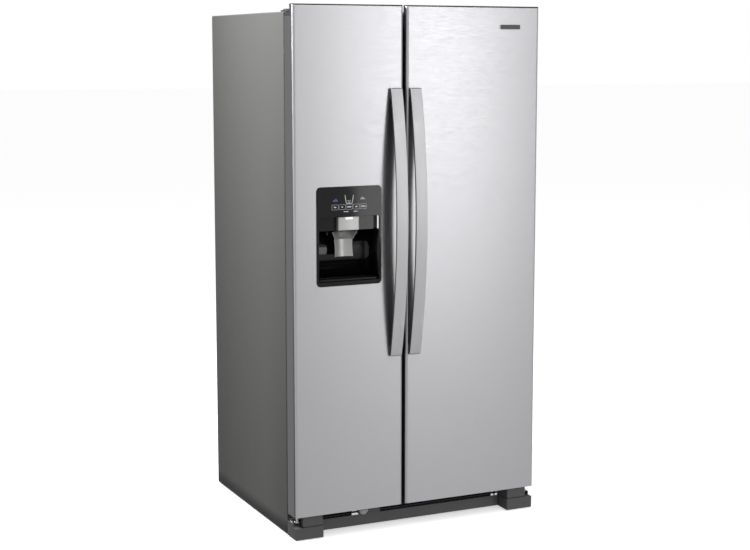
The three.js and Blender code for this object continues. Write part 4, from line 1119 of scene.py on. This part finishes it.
def liner_supports(name, x, y):
    """Ledges under the shelves, runners for the drawers, and pressed ribs in both side walls."""
    parts = COMPARTMENTS[name]
    shape = Shape()
    for shelf in parts["shelves"]:
        _, depth, height = span(shelf)
        for pair in ((x[0] - 0.5, x[0] + 8), (x[1] - 8, x[1] + 0.5)):
            shape.box(pair, (depth[0] + 10, depth[1] - 5), (height[0] - 8.5, height[0] - 0.5))
    rails = (SKIN_BACK + 44, span("freezer_basket")[1][1] + 5)
    floor_drawer = span(parts["floor_drawer"])
    for pair in ((x[0] + 14, x[0] + 24), (x[1] - 24, x[1] - 14)):
        shape.box(pair, rails, (floor_drawer[2][0] - 14, floor_drawer[2][0] - 0.5))
    if parts["runner_drawer"]:
        low = span(parts["runner_drawer"])[2][0]
        for pair in ((x[0] - 0.5, x[0] + 12), (x[1] - 12, x[1] + 0.5)):
            shape.box(pair, rails, (low - 10.5, low - 0.5))
    shape.place(f"{name}_liner_ledges", "cabinet", "white_plastic", bevel=2.0)
    ribs = Shape()
    for level in (700, 1020, 1420, 1560):
        for pair in ((x[0] - 1, x[0] + 2.2), (x[1] - 2.2, x[1] + 1)):
            ribs.box(pair, (y[0] + 120, y[1] - 120), (level, level + 14))
    ribs.place(f"{name}_liner_ribs", "cabinet", "white_plastic", bevel=1.8)


def compartment_fittings():
    """Lamps, the fridge's air duct with its vents, and the control housing with two plain knobs."""
    fridge = cavity("fridge")
    freezer = cavity("freezer")
    top = fridge[2][1]
    lamps = (
        ("fridge", fridge, 70, (150, 220), 12, 14),
        ("freezer", freezer, 40, (60, 110), 10, 12),
    )
    for name, room, half, depth, corner, drop in lamps:
        glow_lens = Shape()
        lamp_x = (middle(room[0]) - half, middle(room[0]) + half)
        glow_lens.prism(rounded(lamp_x, depth, corner), "z", (top - drop, top + 0.5))
        glow_lens.place(f"{name}_lamp", "cabinet", "white_plastic", bevel=3.0, finish="lamp_glow_and_painted_highlight_white")
    duct = Shape()
    duct_x = grow((middle(fridge[0]), middle(fridge[0])), 62)
    duct.prism(rounded(duct_x, (590, top - 60), 14), "y", (fridge[1][1] - 5.5, fridge[1][1] + 0.5))
    for level in (640, 760, 960, 1080, 1290, 1410, 1540):
        for step in range(4):
            duct.prism(rounded(grow(duct_x, -22), (level + step * 9, level + step * 9 + 4), 1.8), "y",
                       (fridge[1][1] - 6.8, fridge[1][1] - 5))
    duct.place("fridge_air_duct", "cabinet", "white_plastic", bevel=1.2)
    housing = Shape()
    housing_x = grow((middle(fridge[0]), middle(fridge[0])), 120)
    housing.prism(rounded(housing_x, (-120, 60), 16), "z", (top - 26, top + 0.5))
    housing.place("control_housing", "cabinet", "white_plastic", bevel=4.0)
    knobs = Shape()
    for offset in (-55, 55):
        centre = (middle(fridge[0]) + offset, -30)
        knobs.lathe([(20, top - 25), (20, top - 33), (18, top - 36), (3, top - 36.5)], "z", centre, 40)
        knobs.box((centre[0] - 2.5, centre[0] + 2.5), (centre[1] - 17, centre[1] + 17), (top - 41, top - 35))
    knobs.place("control_knobs", "cabinet", "silver_plastic", bevel=0.8)


def glass_shelf(node):
    """Tempered glass in a moulded frame: a rounded front trim, a raised back stop and slim side rails."""
    x, y, z = span(node)
    glass = Shape()
    glass.prism(rounded(grow(x, -1), grow(y, -2), 7), "z", (z[0] + 1.8, z[0] + 5.8))
    glass.place(f"{node}_glass", "cabinet", "shelf_glass", bevel=0.6, stands_for=[node])
    trim = Shape()
    trim.prism(rounded((y[0], y[0] + 15), z, 3.2, 5), "x", x)
    trim.prism(rounded((y[1] - 9, y[1]), (z[0], z[1] + 5), 2.5, 5), "x", x)
    for pair in ((x[0], x[0] + 7), (x[1] - 7, x[1])):
        trim.box(pair, grow(y, -8), (z[0], z[0] + 6.6))
    trim.place(f"{node}_trim", "cabinet", "white_plastic", bevel=0.9)


def drawer(node, body):
    """Moulded drawer: leaning walls with round corners, a rim, a finger lip and shallow ribs on its front."""
    x, y, z = span(node)
    front = y[0] + 14
    tub = Shape()
    tub.basin(x, (front, y[1]), z, 2.5, 16, 6)
    tub.place(f"{node}_tub", body, "clear_plastic", bevel=0.5, segments=2, stands_for=[node])
    grip = Shape()
    profile = [
        (front + 1.5, z[1] - 11), (y[0] + 2, z[1] - 11), (y[0], z[1] - 13), (y[0], z[1] - 26),
        (y[0] + 3, z[1] - 26), (y[0] + 3, z[1] - 16), (y[0] + 5, z[1] - 14.5), (front + 1.5, z[1] - 14.5),
    ]
    grip.prism(profile, "x", grow(x, -40))
    grip.prism(rounded((front - 1.5, front + 3.5), (z[1] - 6, z[1] + 0.5), 2), "x", grow(x, -9))
    grip.place(f"{node}_grip", body, "clear_plastic", bevel=1.0, finish="white_plastic")
    ribs = Shape()
    for i in range(5):
        level = z[0] + 26 + i * (z[1] - z[0] - 70) / 4
        ribs.box(grow(x, -30), (front + 2.5, front + 6.5), (level, level + 2.4))
    ribs.place(f"{node}_ribs", body, "clear_plastic", bevel=0.8)


def ice_machine():
    """Small parts round the ice maker: its feeler arm, the fill tube and the housing's front cover."""
    x, y, z = span("icemaker")
    arm = Shape()
    path = [(x[0] + 20, y[0] + 12, z[0] + 40), (x[0] + 20, y[0] - 28, z[0] + 10)]
    path += [(x[0] + 60, y[0] - 34, z[0] - 14), (x[1] - 70, y[0] - 34, z[0] - 14)]
    path += [(x[1] - 40, y[0] - 20, z[0] + 14), (x[1] - 40, y[0] + 14, z[0] + 30)]
    arm.tube(bent(path, 12), 1.6, 10)
    arm.place("icemaker_arm", "cabinet", "zinc_steel")
    cover = Shape()
    cover.prism(rounded((x[0] - 0.8, x[0] + 37), (z[0] + 2, z[1] - 12), 7), "y", (y[0] - 4, y[0] + 1))
    cover.place("icemaker_cover", "cabinet", "white_plastic", bevel=1.6)
    tube = Shape()
    wall = span("evaporator_cover")[1][0]
    px = x[1] - 30
    path = [(px, y[1] - 2, z[1] - 22), (px, y[1] + 60, z[1] - 6), (px, wall - 1, z[1] - 6)]
    tube.tube(bent(path, 16), 6, 16)
    tube.place("icemaker_fill_tube", "cabinet", "white_plastic")


# ---------------------------------------------------------------- Inside of the doors


def panel_ring(x, z, inset, corner, level):
    """A rounded outline across the door's depth, drawn in from a span by inset."""
    return [(a, level, b) for a, b in rounded(grow(x, -inset), grow(z, -inset), corner, 6)]


def door_inner_panel(body):
    """Vacuum-formed inner panel with a rounded dike all round, and studs for the bins."""
    prefix = DOORS[body]["prefix"]
    plate_x, _, plate_z = span(f"{prefix}_door_liner")
    dike_x = grow(cavity(prefix)[0], -13)
    dike_z = grow(cavity(prefix)[2], -14.5)
    base, top = DOOR_BACK + 0.6, span("fridge_door_liner")[1][1]
    plate_x = grow(plate_x, 0.9)

    shape = Shape()
    shape.skin([
        panel_ring(plate_x, plate_z, 0, 5, base - 1.6),
        panel_ring(plate_x, plate_z, 0, 5, base - 0.4),
        panel_ring(plate_x, plate_z, 0.4, 5, base),
        panel_ring(dike_x, dike_z, 0, 26, base),
        panel_ring(dike_x, dike_z, 0.8, 25, base + 0.8),
        panel_ring(dike_x, dike_z, 1.8, 24, top - 5),
        panel_ring(dike_x, dike_z, 3.6, 22, top - 1.4),
        panel_ring(dike_x, dike_z, 7, 20, top),
        panel_ring(dike_x, dike_z, 23, 12, top),
        panel_ring(dike_x, dike_z, 26.5, 10, top - 1.4),
        panel_ring(dike_x, dike_z, 28.3, 9, top - 5),
        panel_ring(dike_x, dike_z, 29.6, 8, base + 4),
        panel_ring(dike_x, dike_z, 34, 6, base),
    ], caps=False)
    for z in INNER_FIELDS[body]:
        shape.box(grow(dike_x, -30), (base - 1.6, base), z)
    shape.place(f"{prefix}_door_inner_panel", body, "white_plastic", stands_for=[f"{prefix}_door_liner"],
                sharp=50)
    studs = Shape()
    inner = grow(dike_x, -29.2)
    for level in DOOR_BINS[body]:
        for px in inner:
            for up in (12, 60):
                profile = [(7, px - 1.2), (7, px + 0.4), (5.6, px + 1.2)]
                if px == inner[1]:
                    profile = [(5.6, px - 1.2), (7, px - 0.4), (7, px + 1.2)]
                studs.lathe(profile, "x", (top - 16, level[0] + up), 20)
    studs.place(f"{prefix}_door_bin_studs", body, "white_plastic")


# Heights of the inner panels' flat fields. The chute's housing fills the gap between the freezer door's two.
INNER_FIELDS = {"freezer_door": [(194, 841), (1399, 1646)], "fridge_door": [(194, 1646)]}
DOOR_BINS = {
    "freezer_door": [(196, 280), (384, 474), tuple(span("freezer_door_bin")[2]), (1440, 1540)],
    "fridge_door": [(196, 300), (392, 506), tuple(span("fridge_door_bin")[2]), (880, 980), (1180, 1290)],
}


def door_bins(body):
    """Clear bins between the dike's sides. The one drawn in the CAD model is among them."""
    prefix = DOORS[body]["prefix"]
    x, y, z = span(f"{prefix}_door_bin")
    for i, level in enumerate(DOOR_BINS[body]):
        back = y[1] if level[0] > 520 else -208.0
        shape = Shape()
        shape.basin(x, (y[0] + 0.6, back), level, 2.6, 10, 4)
        stands_for = [f"{prefix}_door_bin"] if level == tuple(z) else []
        shape.place(f"{prefix}_bin_{i}", body, "clear_plastic", bevel=0.6, segments=2, stands_for=stands_for)
        rim = Shape()
        rim.prism(rounded((back - 5, back + 0.2), (level[1] - 9, level[1] + 0.6), 2.2), "x", grow(x, -7))
        rim.place(f"{prefix}_bin_rim_{i}", body, "white_plastic", bevel=0.8)


def chute_housing():
    """Bulge of the freezer door's inner panel round the ice chute, with the mouth for its flange."""
    x, z = (-364.0, -127.0), (838.0, 1402.0)
    base, top = DOOR_BACK - 0.5, span("freezer_door_liner")[1][1]
    flange_x, _, flange_z = span("ice_chute")
    mouth_z = (flange_z[1] - 82.3, flange_z[1] - 0.5)

    shape = Shape()
    shape.skin([
        panel_ring(x, z, 0, 6, base),
        panel_ring(x, z, 0.1, 6, top - 6),
        panel_ring(x, z, 0.6, 5.4, top - 2),
        panel_ring(x, z, 1.6, 4.4, top - 0.4),
        panel_ring(x, z, 2.4, 3.6, top),
        panel_ring(flange_x, mouth_z, 0.2, 3.5, top),
        panel_ring(flange_x, mouth_z, 0.8, 3, top - 0.8),
        panel_ring(flange_x, mouth_z, 0.8, 3, top - 4),
    ], caps=False)
    shape.place("ice_chute_housing", "freezer_door", "white_plastic", sharp=50)
    seal = Shape()
    inner_x = grow(flange_x, -26.5)
    inner_z = (mouth_z[0] + 12, mouth_z[1] - 12)
    outer = rounded(grow(inner_x, 7), grow(inner_z, 5), 6)
    seal.plate(outer, rounded(inner_x, inner_z, 3), "y", (top - 0.4, top + 2.4))
    seal.place("ice_chute_seal", "freezer_door", "gasket_grey", bevel=0.8)


def dairy():
    """Dairy box with its hinged clear lid."""
    x, y, z = span("dairy_box")
    shape = Shape()
    shape.plate(rounded(x, z, 7), rounded(grow(x, -2.8), grow(z, -2.8), 5), "y", (y[0] + 1.2, y[1]))
    shape.prism(rounded(grow(x, -1), grow(z, -1), 6), "y", (y[0] + 1, y[0] + 3.6))
    shape.place("dairy_shell", "fridge_door", "clear_plastic", bevel=0.7, stands_for=["dairy_box"])
    x, y, z = span("dairy_lid")
    lid = Shape()
    lid.prism(rounded(x, z, 7), "y", (y[0], y[0] + 2.8))
    outer, inner = rounded(grow(x, -6), grow(z, -6), 6), rounded(grow(x, -9), grow(z, -9), 4)
    lid.plate(outer, inner, "y", (y[0] + 2.4, y[0] + 3.8))
    lid.prism(rounded((y[0] + 2, y[1]), (z[0] + 4, z[0] + 9.5), 2), "x", grow(x, -110))
    lid.place("dairy_lid_panel", "dairy_lid", "clear_plastic", bevel=0.7, stands_for=["dairy_lid"])


# ---------------------------------------------------------------- Machine compartment, back and feet


def back_panel():
    """Back sheet with pressed beads and rows of screws, a water line and its inlet valve."""
    x, y, z = span("cabinet_back")
    sheet = Shape()
    sheet.box(x, y, z)
    sheet.box(x, (y[0] - 0.2, y[1] + 2), (z[0] - 14, z[0] + 6))
    for i in range(5):
        level = z[0] + 180 + i * 250
        sheet.skin([
            [(a, y[1] - 0.3, b) for a, b in rounded(grow(x, -70), (level, level + 26), 12)],
            [(a, y[1] + 1.8, b) for a, b in rounded(grow(x, -74), (level + 4, level + 22), 8.5)],
            [(a, y[1] + 2.4, b) for a, b in rounded(grow(x, -77), (level + 7, level + 19), 5.8)],
        ])
    sheet.place("back_sheet", "cabinet", "cabinet_paint", bevel=0.3, stands_for=["cabinet_back"])
    for i, px in enumerate((x[0] + 12, x[1] - 12)):
        for j in range(5):
            level = z[0] + 40 + j * 340
            screw_head((px, y[1], level), f"back_screw_{i}_{j}", "y")
    cover = span("machine_cover")
    for i in range(5):
        px = cover[0][0] + 30 + i * (cover[0][1] - cover[0][0] - 60) / 4
        screw_head((px, cover[1][1] - 7, cover[2][1] - 12), f"cover_screw_{i}", "y")
    face = cover[1][1] - 7
    valve = Shape()
    valve.prism(rounded((-425, -385), (92, 132), 5), "y", (face, face + 14))
    valve.lathe([(9, 92.5), (9, 80), (10.5, 79), (10.5, 68), (8, 67)], "z", (-405, face + 8), 28)
    valve.place("water_valve", "cabinet", "white_plastic", bevel=1.2)
    line = Shape()
    path = [(-405, face + 5, 130), (-405, face + 5, 200), (-430, face + 5, 260), (-430, y[1] + 4, 320),
            (-430, y[1] + 4, 1610), (-400, y[1] + 4, 1650), (-400, y[1] - 1, 1662)]
    line.tube(bent(path, 18), 3.0, 12)
    line.place("water_line", "cabinet", "white_plastic")
    clips = Shape()
    for level in (420, 760, 1100, 1440):
        clips.prism(rounded((-437, -423), (level, level + 16), 3), "y", (y[1] - 0.2, y[1] + 8))
    clips.place("water_line_clips", "cabinet", "white_plastic", bevel=1.0, finish="dark_plastic")


def machine_parts():
    """Turned compressor, wound condenser and the pipes between them."""
    x, y, z = span("compressor")
    centre = (190, 290)
    body = Shape()
    lower_shell = [(30, 41), (52, 43), (68, 52), (75, 64), (78, 84), (78.5, 108), (80.5, 109)]
    upper_shell = [(80.5, 114), (78.5, 115), (77, 134), (72, 160), (62, 175), (44, 186), (20, 191.5)]
    body.lathe(lower_shell + upper_shell, "z", centre, 48)
    body.prism(rounded((95, 285), (258, 322), 8), "z", (34, 40))
    for px in (108, 272):
        for py in (266, 314):
            body.lathe([(10, z[0]), (11, z[0] + 3), (8.5, z[0] + 5), (8.5, 34.5)], "z", (px, py), 24)
    body.prism(rounded((264, 292), (268, 312), 5), "z", (90, 148))
    body.place("compressor_shell", "cabinet", "compressor_black", bevel=1.0, segments=2,
               stands_for=["compressor"])
    x, y, z = span("condenser_coil")
    core_x = (x[0] + 22, x[1])
    coil = Shape()
    for layer in range(4):
        px = core_x[0] + 8 + layer * (core_x[1] - core_x[0] - 16) / 3
        path = [(px, y[0] + 10, 46)]
        for row in range(9):
            level = 46 + row * 21.5
            ends = (y[0] + 10, y[1] - 10) if row % 2 == 0 else (y[1] - 10, y[0] + 10)
            path += [(px, ends[0], level), (px, ends[1], level)] if row else [(px, ends[1], level)]
        coil.tube(bent(path, 9, 5), 3.2, 10)
    coil.place("condenser_tubes", "cabinet", "bare_aluminium", finish="compressor_black")
    wires = Shape()
    for layer in range(4):
        px = core_x[0] + 8 + layer * (core_x[1] - core_x[0] - 16) / 3
        for i in range(24):
            py = y[0] + 14 + i * (y[1] - y[0] - 28) / 23
            for side in (-3.6, 3.6):
                wires.rod("z", (px + side, py), (42, 224), 0.8, 0.2, 6)
    wires.place("condenser_wires", "cabinet", "bare_aluminium", stands_for=["condenser_coil"],
                finish="compressor_black")
    feet = Shape()
    for py in (y[0] + 18, y[1] - 18):
        feet.prism(rounded(core_x, (py - 6, py + 6), 3), "z", (z[0], 44))
    feet.place("condenser_feet", "cabinet", "bare_aluminium", bevel=0.6, finish="zinc_steel")
    pipes = Shape()
    for height in (z[0] + 36, z[1] - 32):
        path = [(x[0] + 30, y[0] + 20, height), (x[0], y[0] + 20, height), (x[0] - 14, y[0] + 8, height),
                (x[0] - 14, y[0] + 2, height - 14)]
        pipes.tube(bent(path, 6), 3.4, 12)
    pipes.tube(bent([(150, 232, 150), (140, 206, 170), (60, 206, 200), (10, 206, 214)], 14), 3.2, 12)
    pipes.place("machine_pipes", "cabinet", "bare_aluminium", finish="bare_aluminium")


def running_gear():
    """Turned levelling legs and rear rollers."""
    for name in ("left", "right"):
        x, y, z = span(f"levelling_leg_{name}")
        centre = (middle(x), middle(y))
        leg = Shape()
        profile = [(12, 0.1), (15, 0.4), (17, 3), (17, 7.5), (15.5, 9), (8.5, 10.5), (7.2, 12)]
        level = 12.0
        while level < z[1] - 3:
            profile += [(6.1, level + 0.7), (5.4, level + 1.4)]
            level += 1.9
        profile += [(5.0, z[1])]
        leg.lathe(profile, "z", centre, 28)
        leg.place(f"leg_{name}", f"levelling_leg_{name}", "zinc_steel",
                  stands_for=[f"levelling_leg_{name}"], sharp=25)
        x, y, z = span(f"rear_roller_{name}")
        centre = (middle(y), middle(z))
        low, high = middle(x) - 14, middle(x) + 14
        wheel = Shape()
        tread = [(9, low + 3), (15, low + 3), (16, low), (20, low), (22, low + 2.5)]
        tread += [(22, high - 2.5), (20, high), (16, high), (15, high - 3), (9, high - 3)]
        wheel.lathe(tread, "x", centre, 48)
        wheel.place(f"roller_{name}", f"rear_roller_{name}", "roller_nylon",
                    stands_for=[f"rear_roller_{name}"], sharp=50)
        axle = Shape()
        axle.rod("x", centre, x, 3.9, 0.6, 24)
        axle.rod("x", centre, (low - 1, high + 1), 9, 0.8, 24)
        axle.place(f"axle_{name}", f"rear_roller_{name}", "roller_nylon", finish="zinc_steel")


# ---------------------------------------------------------------- Carried-over CAD nodes


def finish_nodes():
    """Every CAD node gets its procedural finish. Those that stay also get welded corners and fine edges."""
    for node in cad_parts.values():
        slot = node.data.materials[0].name
        node.data.materials.clear()
        node.data.materials.append(FINISHES[slot])
        if node.hide_render:
            continue
        weld = node.modifiers.new("Weld", "WELD")
        weld.merge_threshold = 0.00002
        add_bevel(node, 0.4, 2)


# ---------------------------------------------------------------- Build

make_finishes()
make_studio()
for door in DOORS:
    door_skin(door)
    top_cap(door)
    door_gasket(door)
for door in DOORS:
    handle(door)
badge()
fascia()
recess()
tray()
chute_cover()
paddle()
panel_marks()
cabinet_shell()
cabinet_face()
for hand in (-1, 1):
    hinge_cover(hand)
    foot_cover(hand)
    lower_hinge(hand)
grille()
for compartment in COMPARTMENTS:
    liner(compartment)
    for shelf_node in COMPARTMENTS[compartment]["shelves"]:
        glass_shelf(shelf_node)
compartment_fittings()
for drawer_node in ("freezer_basket", "crisper_lower", "crisper_upper"):
    drawer(drawer_node, drawer_node)
ice_machine()
for door in DOORS:
    door_inner_panel(door)
    door_bins(door)
chute_housing()
dairy()
back_panel()
machine_parts()
running_gear()
finish_nodes()
